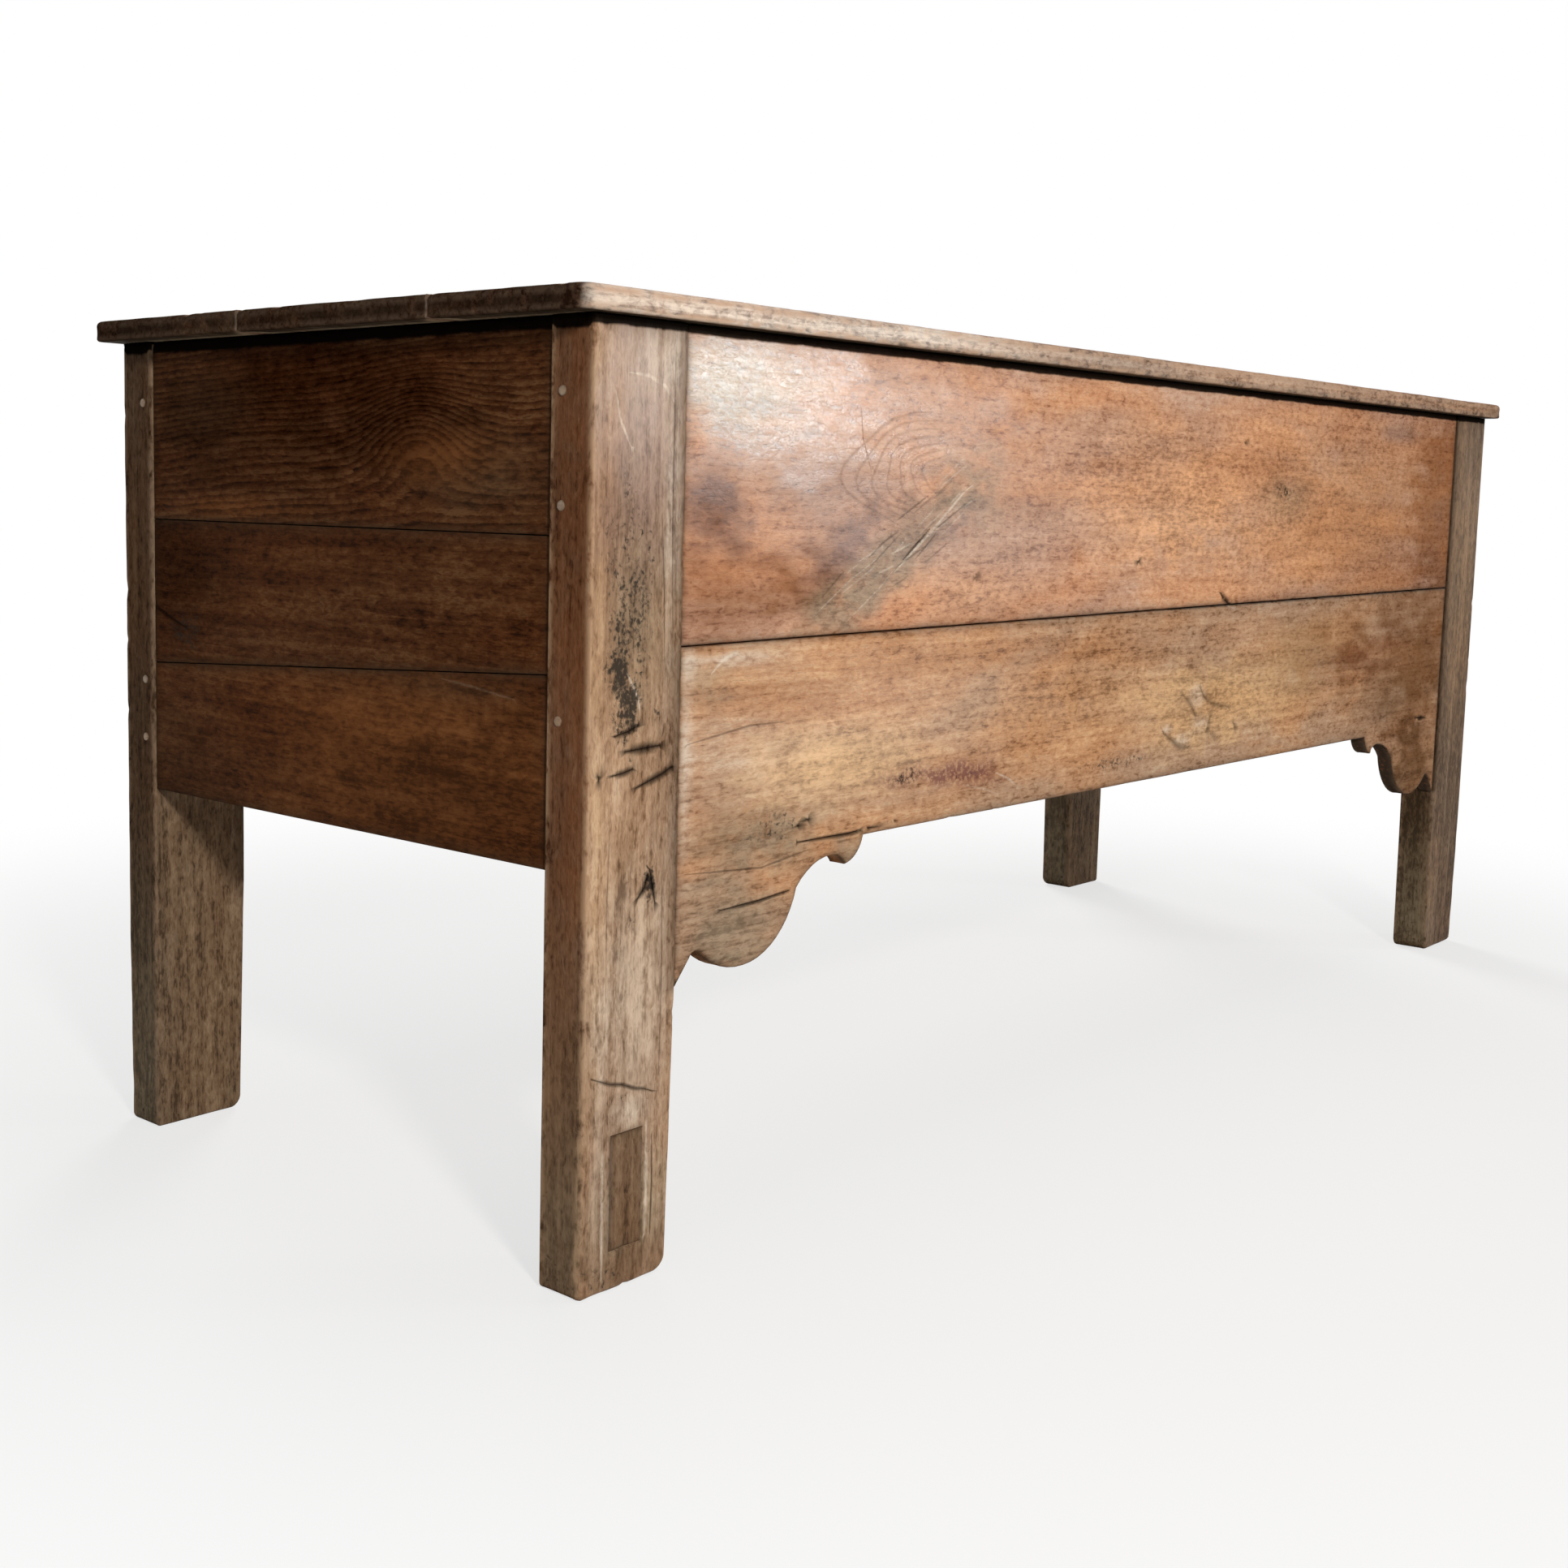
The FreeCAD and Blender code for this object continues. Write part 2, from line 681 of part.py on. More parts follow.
def make_lid():
    boards = {board: make_lid_board(board) for board in LID_EDGES}
    nail_length = batten_thickness + nail_bite
    nail_rows = {
        "front": (batten_front + batten_nail_edge, lid_front_joint - batten_nail_edge),
        "middle": (lid_front_joint + batten_nail_edge, lid_rear_joint - batten_nail_edge),
        "rear": (lid_rear_joint + batten_nail_edge, batten_rear - batten_nail_edge),
    }
    heads = []
    for name, x in BATTEN_X.items():
        batten = new_piece(f"lid_batten_{name}")
        timber = block(batten, (x - batten_width / 2, batten_front, batten_bottom),
                       (batten_width, batten_rear - batten_front, batten_thickness))
        bevelled(batten, timber, batten_bevel, lambda edge, whole: edge.ZMax - whole.ZMin < TINY)
        for board, ys in nail_rows.items():
            for y in ys:
                spot = (x, y, batten_bottom)
                for pierced in (batten, boards[board]):
                    drill(pierced, spot, UP, nail_diameter, nail_length)
                heads.append((spot, UP))
    nails("batten_nails", nail_length, heads)
    return boards


# Strap hinges
def strap_nail_heads(side):
    steps = range(STRAP_NAILS)
    ys = [hinge_axis_y - strap_nail_start - strap_nail_pitch * step for step in steps]
    return [((hinge_x[side], y, strap_bottom), UP) for y in ys]


def leaf_nail_heads(side):
    steps = range(LEAF_NAILS)
    zs = [hinge_axis_z - leaf_nail_start - leaf_nail_pitch * step for step in steps]
    return [((hinge_x[side], back_face + leaf_thickness, z), -BACK) for z in zs]


def make_strap(side):
    """The tapered strap under the lid, with its knuckle round the pin."""
    body = new_piece(f"hinge_strap_{side}")
    middle = hinge_x[side]
    shoulder_y = hinge_axis_y - knuckle_radius - strap_shoulder_gap
    tip_y = hinge_axis_y - strap_length
    half_widths = [
        (knuckle_length / 2, hinge_axis_y), (knuckle_length / 2, shoulder_y),
        (strap_width / 2, shoulder_y), (strap_tip_width / 2, tip_y),
    ]
    corners = [(middle + half, y) for half, y in half_widths]
    corners += [(middle - half, y) for half, y in reversed(half_widths)]
    tip = {len(half_widths) - 1: (middle, tip_y - strap_tip_bow)}
    plate(body, "XY_Plane", strap_bottom, strap_thickness, corners, tip)
    start = (middle - knuckle_length / 2, hinge_axis_y, hinge_axis_z)
    rod(body, start, RIGHT, knuckle_radius * 2, knuckle_length)
    drill(body, start, RIGHT, pin_diameter + pin_clearance * 2, knuckle_length)
    return body


def make_leaf(side):
    """The back leaf, with a knuckle at each side of the strap's."""
    body = new_piece(f"hinge_leaf_{side}")
    left = hinge_x[side] - leaf_width / 2
    block(body, (left, back_face, hinge_axis_z - leaf_length), (leaf_width, leaf_thickness, leaf_length))
    start = (left, hinge_axis_y, hinge_axis_z)
    rod(body, start, RIGHT, knuckle_radius * 2, leaf_width)
    gap_width = knuckle_length + knuckle_gap * 2
    gap_reach = knuckle_radius + knuckle_clearance
    cut(body, (hinge_x[side] - gap_width / 2, back_face, hinge_axis_z - gap_reach),
        (gap_width, gap_reach * 2, gap_reach * 2))
    drill(body, start, RIGHT, pin_diameter, leaf_width)
    return body


def make_hinges(lid_boards, back_board):
    strap_nail_length = strap_thickness + nail_bite
    leaf_nail_length = leaf_thickness + nail_bite
    strap_heads = []
    leaf_heads = []
    for side in ("left", "right"):
        strap = make_strap(side)
        for spot, direction in strap_nail_heads(side):
            for pierced in (strap, lid_boards["rear"], lid_boards["middle"]):
                drill(pierced, spot, direction, nail_diameter, strap_nail_length)
        leaf = make_leaf(side)
        for spot, direction in leaf_nail_heads(side):
            for pierced in (leaf, back_board):
                drill(pierced, spot, direction, nail_diameter, leaf_nail_length)
        pin = new_piece(f"hinge_pin_{side}")
        rod(pin, (hinge_x[side] - leaf_width / 2 - pin_end, hinge_axis_y, hinge_axis_z), RIGHT,
            pin_diameter, leaf_width + pin_end * 2)
        strap_heads += strap_nail_heads(side)
        leaf_heads += leaf_nail_heads(side)
    nails("strap_nails", strap_nail_length, strap_heads)
    nails("leaf_nails", leaf_nail_length, leaf_heads)


def check_document():
    """Refuse to write anything if a step failed or a piece has no sound solid."""
    for item in doc.Objects:
        if {"Invalid", "Error"} & set(item.State):
            raise RuntimeError(f"{item.Label} failed: {item.State}")
    for piece in pieces:
        if piece.Shape.isNull() or not piece.Shape.isValid() or not piece.Shape.Solids:
            raise RuntimeError(f"{piece.Label} has no sound solid")


make_legs()
lower_front_board = make_front_boards()
for chest_side in ("left", "right"):
    make_end_boards(chest_side)
    make_pegs(chest_side)
back_boards = make_back_boards()
make_floor(lower_front_board, back_boards["lower"])
chest_lid_boards = make_lid()
make_hinges(chest_lid_boards, back_boards["upper"])
doc.recompute()
check_document()

os.makedirs("parts", exist_ok=True)
for finished in pieces:
    finished.Shape.exportStep(f"parts/{finished.Label}.step")
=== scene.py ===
import math

import bpy
import numpy as np
from mathutils import Matrix, Vector
from mathutils.geometry import delaunay_2d_cdt


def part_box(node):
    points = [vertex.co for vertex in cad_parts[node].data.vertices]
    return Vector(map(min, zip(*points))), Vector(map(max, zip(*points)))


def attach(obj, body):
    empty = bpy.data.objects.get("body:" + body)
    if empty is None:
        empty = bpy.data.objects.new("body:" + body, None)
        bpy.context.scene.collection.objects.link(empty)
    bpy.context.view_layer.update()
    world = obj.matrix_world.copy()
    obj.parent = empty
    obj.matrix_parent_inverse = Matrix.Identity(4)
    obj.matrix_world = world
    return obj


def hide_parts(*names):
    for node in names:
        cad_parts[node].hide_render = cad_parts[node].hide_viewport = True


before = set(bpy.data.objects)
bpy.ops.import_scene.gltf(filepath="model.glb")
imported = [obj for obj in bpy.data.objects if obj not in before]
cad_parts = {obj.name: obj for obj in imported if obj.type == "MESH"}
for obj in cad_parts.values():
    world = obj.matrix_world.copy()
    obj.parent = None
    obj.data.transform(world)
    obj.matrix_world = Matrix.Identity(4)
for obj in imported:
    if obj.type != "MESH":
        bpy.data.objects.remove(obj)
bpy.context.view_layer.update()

# Lengths are written in millimetres and turned into the frame's metres
MM = 0.001
X_AXIS, Y_AXIS, Z_AXIS = np.eye(3)

# Distances from an arris at which a board gets rows of points, so that the arris can be rounded
RIM_ROWS = np.array([0.3, 0.9, 1.8, 3.2, 5.2, 8.0]) * MM

# Points on a rounded corner
ARC_POINTS = 7

# Spots that are measured at once
BATCH = 2000

# Channels of the marks that a board's material reads
CHANNEL_COUNT = 8
STAIN, PALE, RED, GREY, GOLD, BROWN, SHINE, PLUM = range(CHANNEL_COUNT)

# Painted shadow of the lid's overhang: a black band reaches this far down, in millimetres; the second is a
# depth well clear of it
LID_SHADOW_REACH = 8
NO_LID_SHADOW = 9.0

# The three boards of an end or of the back
LEVELS = ("lower", "middle", "upper")

# Directions along each end's boards and out of them
END_AXES = {"left": (-Y_AXIS, -X_AXIS), "right": (Y_AXIS, X_AXIS)}


# Smooth noise, the same at every run

CELL_FACTORS = np.array([374761393, 668265263, 1442695041])
SEED_FACTOR = 1013904223
MIX_FACTOR = 1274126177
LOW_BITS = 65535


def lattice(cells, seed):
    """A fixed number from 0 to 1 for each whole-numbered cell."""
    mixed = cells @ CELL_FACTORS + seed * SEED_FACTOR
    mixed = (mixed ^ (mixed >> 13)) * MIX_FACTOR
    return ((mixed ^ (mixed >> 16)) & LOW_BITS) / LOW_BITS


def noise(points, seed=0):
    """Noise from -1 to 1 at each point, with one cell to a unit."""
    cells = np.floor(points).astype(np.int64)
    share = points - cells
    share = share * share * (3 - 2 * share)
    total = np.zeros(len(points))
    for corner in np.ndindex(2, 2, 2):
        weight = np.where(corner, share, 1 - share).prod(axis=1)
        total += weight * lattice(cells + np.array(corner), seed)
    return total * 2 - 1


def rough_noise(points, seed=0, octaves=3):
    """Noise with finer noise added to it."""
    total = sum(noise(points * 2 ** level, seed + level) / 2 ** level for level in range(octaves))
    return total / (2 - 2 ** (1 - octaves))


def flat_noise(spots, cell_along, cell_across, seed, octaves=2):
    """Noise over a board's face, with cells stretched along the grain; cells in millimetres."""
    scaled = spots / (np.array([cell_along, cell_across]) * MM)
    return rough_noise(np.column_stack([scaled, np.full(len(spots), 0.5)]), seed, octaves)


# Outlines in a board's own plane, counter-clockwise

def softened(corners, radii):
    """An outline whose corners are arcs; a radius of 0 keeps a corner sharp."""
    points = []
    for index, corner in enumerate(corners):
        radius = radii[index]
        if not radius:
            points.append(corner)
            continue
        before = corners[index - 1] - corner
        after = corners[(index + 1) % len(corners)] - corner
        before = before / np.linalg.norm(before)
        after = after / np.linalg.norm(after)
        half_turn = math.acos(np.dot(before, after)) / 2
        middle = (before + after) / np.linalg.norm(before + after)
        centre = corner + middle * radius / math.sin(half_turn)
        start = before * radius / math.tan(half_turn) + corner - centre
        end = after * radius / math.tan(half_turn) + corner - centre
        for share in np.linspace(0, 1, ARC_POINTS):
            spoke = start * (1 - share) + end * share
            points.append(centre + spoke * radius / np.linalg.norm(spoke))
    return np.array(points)


def resampled(path, spacing, closed=True):
    """A path with its points at most a spacing apart."""
    ends = np.roll(path, -1, axis=0) if closed else path[1:]
    points = []
    for start, end in zip(path, ends):
        steps = max(1, math.ceil(np.linalg.norm(end - start) / spacing))
        points.extend(start + (end - start) * step / steps for step in range(steps))
    return np.array(points if closed else points + [path[-1]])


def outward(outline):
    """The direction out of an outline at each of its points, and how far a mitre reaches there."""
    ahead = np.roll(outline, -1, axis=0) - outline
    ahead /= np.linalg.norm(ahead, axis=1, keepdims=True)
    sides = np.column_stack([ahead[:, 1], -ahead[:, 0]])
    normals = sides + np.roll(sides, 1, axis=0)
    normals /= np.linalg.norm(normals, axis=1, keepdims=True)
    mitres = 1 / np.maximum(0.5, (normals * sides).sum(axis=1))
    return normals, mitres


def distance_to(path, spots, closed):
    """How far spots lie from a path of straight stretches, and the index of its nearest point."""
    starts = path if closed else path[:-1]
    spans = (np.roll(path, -1, axis=0) - path)[:len(starts)]
    lengths = (spans ** 2).sum(axis=1)
    distances = []
    nearest = []
    for batch in np.array_split(spots, max(1, len(spots) // BATCH)):
        offsets = batch[:, None, :] - starts[None]
        shares = np.clip((offsets * spans).sum(axis=2) / lengths, 0, 1)
        gaps = np.linalg.norm(offsets - shares[..., None] * spans, axis=2)
        best = gaps.argmin(axis=1)
        rows = np.arange(len(batch))
        distances.append(gaps[rows, best])
        nearest.append((best + (shares[rows, best] > 0.5)) % len(path))
    return np.concatenate(distances), np.concatenate(nearest)


def inside(outline, spots):
    """Which spots lie inside a closed outline."""
    result = np.zeros(len(spots), bool)
    for start, end in zip(outline, np.roll(outline, -1, axis=0)):
        crosses = (start[1] > spots[:, 1]) != (end[1] > spots[:, 1])
        rise = end[1] - start[1] or 1
        reach = start[0] + (spots[:, 1] - start[1]) / rise * (end[0] - start[0])
        result ^= crosses & (spots[:, 0] < reach)
    return result


# What marks a board's face

class Groove:
    """A crack, scratch or hole: a path in millimetres, its width and depth, and how dark or pale it is."""

    SIDE_ROWS = (-2.2, -1, 0, 1, 2.2)

    def __init__(self, path, width, depth, dark=1.0, pale=0.0):
        self.path = np.array(path, float) * MM
        self.half = width * MM / 2
        self.depth = depth * MM
        self.dark = dark
        self.pale = pale

    def points(self):
        """Spots along the path and beside it, close enough to carve it."""
        rows = []
        for start, end in zip(self.path, self.path[1:]):
            span = end - start
            steps = max(2, math.ceil(np.linalg.norm(span) / (3 * MM)))
            side = np.array([-span[1], span[0]]) / np.linalg.norm(span)
            for offset in self.SIDE_ROWS:
                shift = side * self.half * offset
                rows.extend(start + span * step / steps + shift for step in range(steps))
        return np.array(rows)

    def carve(self, spots, seed):
        """How far each spot is sunk, from 0 to 1, and how far it takes the groove's colour."""
        path = resampled(self.path, 2 * MM, closed=False)
        gaps, nearest = distance_to(path, spots, closed=False)
        taper = np.sin(np.clip(nearest / (len(path) - 1), 0.06, 0.94) * math.pi) ** 0.5
        wobble = 0.75 + 0.25 * flat_noise(spots, 9, 9, seed)
        profile = np.clip(1 - gaps / (self.half * taper), 0, 1)
        shade = np.clip(1.3 - gaps / (self.half * taper * 1.6), 0, 1)
        return profile * taper * wobble, shade


ARC_DEPTH = 0.15
SCRATCH_WIDTH = 1.4
SCRATCH_DEPTH = 0.2


def figure(middle, first, last, count, sweep, width, dark):
    """Nested oval arcs of the grain, from the first half sizes to the last, over a sweep of degrees."""
    turns = np.radians(np.linspace(*sweep, 14))
    arcs = []
    for share in np.linspace(0, 1, count):
        reach = np.array(first) * (1 - share) + np.array(last) * share
        ripple = 1 + 0.05 * np.sin(turns * 5 + share * 4)
        path = np.array(middle) + reach * np.column_stack([np.cos(turns), np.sin(turns)]) * ripple[:, None]
        arcs.append(Groove(path, width, ARC_DEPTH, dark))
    return arcs


def scratches(start, end, spread, length, count, seed):
    """Fine pale and dark lines scattered along a stretch of a face."""
    rng = np.random.default_rng(seed)
    start = np.array(start, float)
    span = np.array(end) - start
    way = span / np.linalg.norm(span)
    side = np.array([-way[1], way[0]])
    lines = []
    for number in range(count):
        middle = start + span * rng.uniform() + side * spread * rng.uniform(-1, 1)
        half = way * length * rng.uniform(0.2, 0.5) + side * rng.uniform(-3, 3)
        strength = rng.uniform(0.3, 0.6)
        shades = (0, strength) if number % 2 else (strength, 0)
        lines.append(Groove([middle - half, middle + half], SCRATCH_WIDTH, SCRATCH_DEPTH, *shades))
    return lines


class Spot:
    """A soft-edged oval mark: its channel, middle, half sizes in millimetres, strength and turn."""

    def __init__(self, channel, middle, reach, strength, turn=0, ragged=0.5):
        self.channel = channel
        self.middle = np.array(middle) * MM
        self.reach = np.array(reach) * MM
        self.strength = strength
        self.turn = math.radians(turn)
        self.ragged = ragged

    def amount(self, spots, seed):
        offset = spots - self.middle
        turned = np.column_stack([
            offset[:, 0] * math.cos(self.turn) + offset[:, 1] * math.sin(self.turn),
            offset[:, 1] * math.cos(self.turn) - offset[:, 0] * math.sin(self.turn),
        ])
        radius = np.linalg.norm(turned / self.reach, axis=1)
        edge = 1.3 - radius + self.ragged * flat_noise(spots, 30, 14, seed)
        return self.strength * np.clip(edge, 0, 1)


def marks_from(rows_of):
    """Marks from each channel's rows of middle, half sizes, strength and any turn and raggedness."""
    return [Spot(channel, *row) for channel, rows in rows_of.items() for row in rows]


class Pocket:
    """A rectangular recess, from corner to corner in metres, and its depth."""

    WALL = 0.3 * MM

    def __init__(self, low, high, depth):
        self.low = np.array(low)
        self.high = np.array(high)
        self.depth = depth

    def beyond(self, spots):
        """How far spots lie outside the recess."""
        return np.maximum(self.low - spots, spots - self.high).max(axis=1)

    def points(self):
        rims = []
        for grow in (0, self.WALL):
            (left, bottom), (right, top) = self.low - grow, self.high + grow
            corners = np.array([(left, bottom), (right, bottom), (right, top), (left, top)])
            rims.append(resampled(corners, 5 * MM))
        return np.concatenate(rims)


# Boards

def face_spots(rim, normals, mitres, spacing, widest, grooves, pockets):
    """Points over a face: rows beside its rim, a lattice inside them, and what carves it."""
    depths = RIM_ROWS[RIM_ROWS < widest * 1.3 + 0.4 * MM]
    rows = []
    for depth in depths:
        row = rim - normals * mitres[:, None] * depth
        gaps, _ = distance_to(rim, row, closed=True)
        rows.append(row[(gaps > depth * 0.93) & inside(rim, row)])
    border = depths[-1]
    low = rim.min(axis=0)
    high = rim.max(axis=0)
    counts = np.ceil((high - low) / (spacing * np.array([1.25, 0.8]))).astype(int) + 1
    along, across = np.meshgrid(*(np.linspace(low[i], high[i], counts[i]) for i in range(2)))
    grid = np.column_stack([along.ravel(), across.ravel()])
    grid = grid[inside(rim, grid)]
    gaps, _ = distance_to(rim, grid, closed=True)
    grid = grid[gaps > border + spacing * 0.4]
    extra = []
    for groove in grooves:
        gaps, _ = distance_to(groove.path, grid, closed=False)
        grid = grid[gaps > groove.half * 3]
        spots = groove.points()
        gaps, _ = distance_to(rim, spots, closed=True)
        extra.append(spots[inside(rim, spots) & (gaps > border)])
    for pocket in pockets:
        grid = grid[abs(pocket.beyond(grid)) > 2 * MM]
        extra.append(pocket.points())
    return np.concatenate([rim, *rows, grid, *extra])


def triangulated(spots, rim_count):
    """Triangles over a face; returns its points, its triangles and where each rim point went."""
    rim = list(range(rim_count))
    loop = list(zip(rim, rim[1:] + rim[:1]))
    points = [Vector(spot) for spot in spots]
    found, _, triangles, origins, _, _ = delaunay_2d_cdt(points, loop, [rim], 1, 1e-7)
    place = {}
    for index, inputs in enumerate(origins):
        for source in inputs:
            place[source] = index
    return np.array(found), np.array(triangles), np.array([place[index] for index in rim])


def sink(gaps, radii):
    """How far a rounded arris lies below its face at a distance from the edge."""
    reach = np.clip(1 - gaps / radii, 0, 1)
    return radii * (1 - np.sqrt(1 - reach ** 2))


def chipped(rim, radii, per_metre, rng):
    """Add a few knocks to the radius of an arris."""
    lengths = np.linalg.norm(np.roll(rim, -1, axis=0) - rim, axis=1)
    for _ in range(int(per_metre * lengths.sum())):
        middle = rim[rng.integers(len(rim))]
        reach = rng.uniform(2, 7) * MM
        bite = rng.uniform(0.5, 3.0) * MM
        radii = radii + bite * np.exp(-(np.linalg.norm(rim - middle, axis=1) / reach) ** 2)
    return radii


def even(radius):
    """An arris of one radius all round."""
    return lambda rim, normals: np.full(len(rim), float(radius))


def everywhere(rim, normals):
    """Another piece all round."""
    return np.ones(len(rim))


class Board:
    """A wooden piece in place of a solid, with its own axes: along its grain, across it, and out of
    its best face. Places on it are distances along those axes from the frame's origin. It never leaves
    the space of its solid: its faces are a little hollow and its arrises are worn and knocked."""

    def __init__(self, node, along, out, seed):
        self.node = node
        self.seed = seed
        self.axes = np.array([along, np.cross(out, along), out], float)
        corners = np.array(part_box(node)) @ self.axes.T
        self.low = corners.min(axis=0)
        self.high = corners.max(axis=0)
        self.middle = (self.low + self.high) / 2

    def rectangle(self):
        """The outline of the solid's box."""
        (left, bottom), (right, top) = self.low[:2], self.high[:2]
        return np.array([(left, bottom), (right, bottom), (right, top), (left, top)])

    def face_rim(self):
        """The outer rim of the solid's flat best face."""
        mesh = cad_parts[self.node].data
        places = np.array([vertex.co for vertex in mesh.vertices]) @ self.axes.T
        keys = [tuple(place) for place in np.round(places[:, :2], 6)]
        on_face = places[:, 2] > self.high[2] - 0.01 * MM
        edges = set()
        for polygon in mesh.polygons:
            ends = list(polygon.vertices)
            if on_face[ends].all():
                edges.update((keys[a], keys[b]) for a, b in zip(ends, ends[1:] + ends[:1]))
        following = {start: end for start, end in edges if (end, start) not in edges}
        rims = []
        while following:
            rim = [min(following)]
            while rim[-1] in following:
                rim.append(following.pop(rim[-1]))
            rims.append(np.array(rim[:-1]))
        return max(rims, key=lambda rim: np.ptp(rim[:, 0]) * np.ptp(rim[:, 1]))

    def carve(self, outline, arris, back_arris=1.2, spacing=7, inset=0.5, relief=0.35, chips=3,
              grooves=(), pockets=()):
        """Shape the board. arris gives the radius along the rim from its points and directions."""
        seed = self.seed
        spacing = spacing * MM
        relief = relief * MM
        rim = resampled(outline, spacing)
        normals, _ = outward(rim)
        rim = rim - normals * (inset * MM * (0.5 + 0.5 * flat_noise(rim, 70, 45, seed + 1)))[:, None]
        normals, mitres = outward(rim)
        face_radii = arris(rim, normals) * MM * (1 + 0.4 * flat_noise(rim, 35, 35, seed + 2))
        face_radii = chipped(rim, face_radii, chips, np.random.default_rng(seed))
        back_radii = np.full(len(rim), back_arris * MM)

        spots = face_spots(rim, normals, mitres, spacing, face_radii.max(), grooves, pockets)
        spots, triangles, rim_index = triangulated(spots, len(rim))
        gaps, nearest = distance_to(rim, spots, closed=True)
        broad = flat_noise(spots, 160, 42, seed + 3)
        wave = 0.5 + 0.35 * broad + 0.15 * flat_noise(spots, 34, 11, seed + 4)
        hollow = np.zeros(len(spots))
        shades = np.zeros((2, len(spots)))
        for groove in grooves:
            depth, shade = groove.carve(spots, seed + 5)
            hollow = np.maximum(hollow, depth * groove.depth)
            shades = np.maximum(shades, shade * np.array([[groove.dark], [groove.pale]]))
        for pocket in pockets:
            hollow = np.where(pocket.beyond(spots) < pocket.WALL / 2, pocket.depth, hollow)
        face = self.high[2] - relief * wave - sink(gaps, face_radii[nearest]) - hollow
        back = self.low[2] + relief * (1 - wave) + sink(gaps, back_radii[nearest])

        count = len(spots)
        row_count = max(2, round((self.high[2] - self.low[2]) / spacing))
        rim_spots = spots[rim_index]
        walls = []
        wall_gaps = []
        for row in range(1, row_count):
            share = row / row_count
            level = back[rim_index] * (1 - share) + face[rim_index] * share
            cells = np.column_stack([rim_spots / (40 * MM), level / (18 * MM)])
            bump = 0.5 + 0.5 * rough_noise(cells, seed + 6)
            walls.append(np.column_stack([rim_spots - normals * (relief * bump)[:, None], level]))
            wall_gaps.append(np.minimum(level - back[rim_index], face[rim_index] - level) + 0.4 * MM)
        loops = [rim_index + count]
        loops += [2 * count + np.arange(len(rim)) + row * len(rim) for row in range(row_count - 1)]
        loops.append(rim_index)
        self.faces = triangles.tolist() + (triangles[:, ::-1] + count).tolist()
        for below, above in zip(loops, loops[1:]):
            quads = np.column_stack([below, np.roll(below, -1), np.roll(above, -1), above])
            self.faces += quads.tolist()

        wall_count = len(rim) * (row_count - 1)
        self.rim, self.normals = rim, normals
        sides = [np.column_stack([spots, level]) for level in (face, back)]
        self.places = np.concatenate(sides + walls)
        self.edge_gaps = np.concatenate([gaps, gaps, *wall_gaps])
        self.rim_of = np.concatenate([nearest, nearest, *[np.arange(len(rim))] * (row_count - 1)])
        self.on_back = np.repeat([0.0, 1.0, 0.5], [count, count, wall_count])
        self.on_wall = np.repeat([0.0, 0.0, 1.0], [count, count, wall_count])
        self.shades = np.concatenate([shades, np.zeros((2, count + wall_count))], axis=1)
        return self

    def paint(self, marks=(), seam=everywhere, creep=9, lid_shadow_axis=None, lid_shadow_reach=LID_SHADOW_REACH,
              wall_marks=None, wrap=0.5, back_grey=0.5, back_brown=0.0, back_shade_rim=None, end_brown=0.6,
              pith=(0.1, -0.09), tilt=0.0, knots=()):
        """Say where the wood is marked and worn, and where shade is painted. seam tells how close another
        piece lies along the rim; a dark dirt line follows it, which on a free edge is painted shade. The
        lid's shadow axis is the upward axis of a board whose top is painted black as shadow under the lid;
        wall_marks colours the edges and wraps a little round their arrises; a back rim width keeps the
        back's brown to a strip along its free edges, painted shade under an overhang."""
        seed = self.seed
        spots = self.places[:, :2]
        facing = np.clip((self.places[:, 2] - self.high[2]) / (12 * MM) + 1, 0, 1)
        amounts = np.zeros((len(self.places), CHANNEL_COUNT))
        for mark in marks:
            amounts[:, mark.channel] += mark.amount(spots, seed + 7) * facing
        amounts[:, PALE] += self.shades[1]
        rim_ends = abs(self.normals[self.rim_of, 0])
        on_edge = np.maximum(self.on_wall, np.clip(1 - self.edge_gaps / (wrap * MM), 0, 1))
        amounts[:, BROWN] += end_brown * rim_ends * on_edge
        amounts[:, GREY] += back_grey * (self.on_back == 1) * (1 - on_edge)
        close = seam(self.rim, self.normals)[self.rim_of]
        # On a board given a rim width, the back's brown keeps to a strip along its free edges: painted
        # shade under an overhang
        strip = (self.on_back == 1) * 1.0
        if back_shade_rim:
            strip *= np.clip((back_shade_rim * MM - self.edge_gaps) / (5 * MM), 0, 1) * (1 - close)
        amounts[:, BROWN] += back_brown * strip
        if wall_marks:
            for channel, amount in wall_marks(self.rim, self.normals).items():
                amounts[:, channel] += amount[self.rim_of] * on_edge
        amounts = np.clip(amounts, 0, 1)

        cracks = self.shades[0]
        # Painted shadow under the lid: black down from the board's top, with the top edge and the inside
        # left out
        under_lid = np.full(len(self.places), NO_LID_SHADOW)
        if lid_shadow_axis is not None:
            reach = lid_shadow_reach * MM * (1 + 0.4 * self.on_wall)
            depth = (self.high[lid_shadow_axis] - self.places[:, lid_shadow_axis]) / reach
            on_top = self.on_wall * self.normals[self.rim_of, lid_shadow_axis] > 0.8
            on_inside = (self.on_back == 1) & (self.edge_gaps > 3 * MM)
            under_lid = np.where(on_top | on_inside, under_lid, depth)
        worn = np.exp(-self.edge_gaps / (2.4 * MM)) * (1 - 0.75 * close) * (1 - 0.85 * rim_ends)
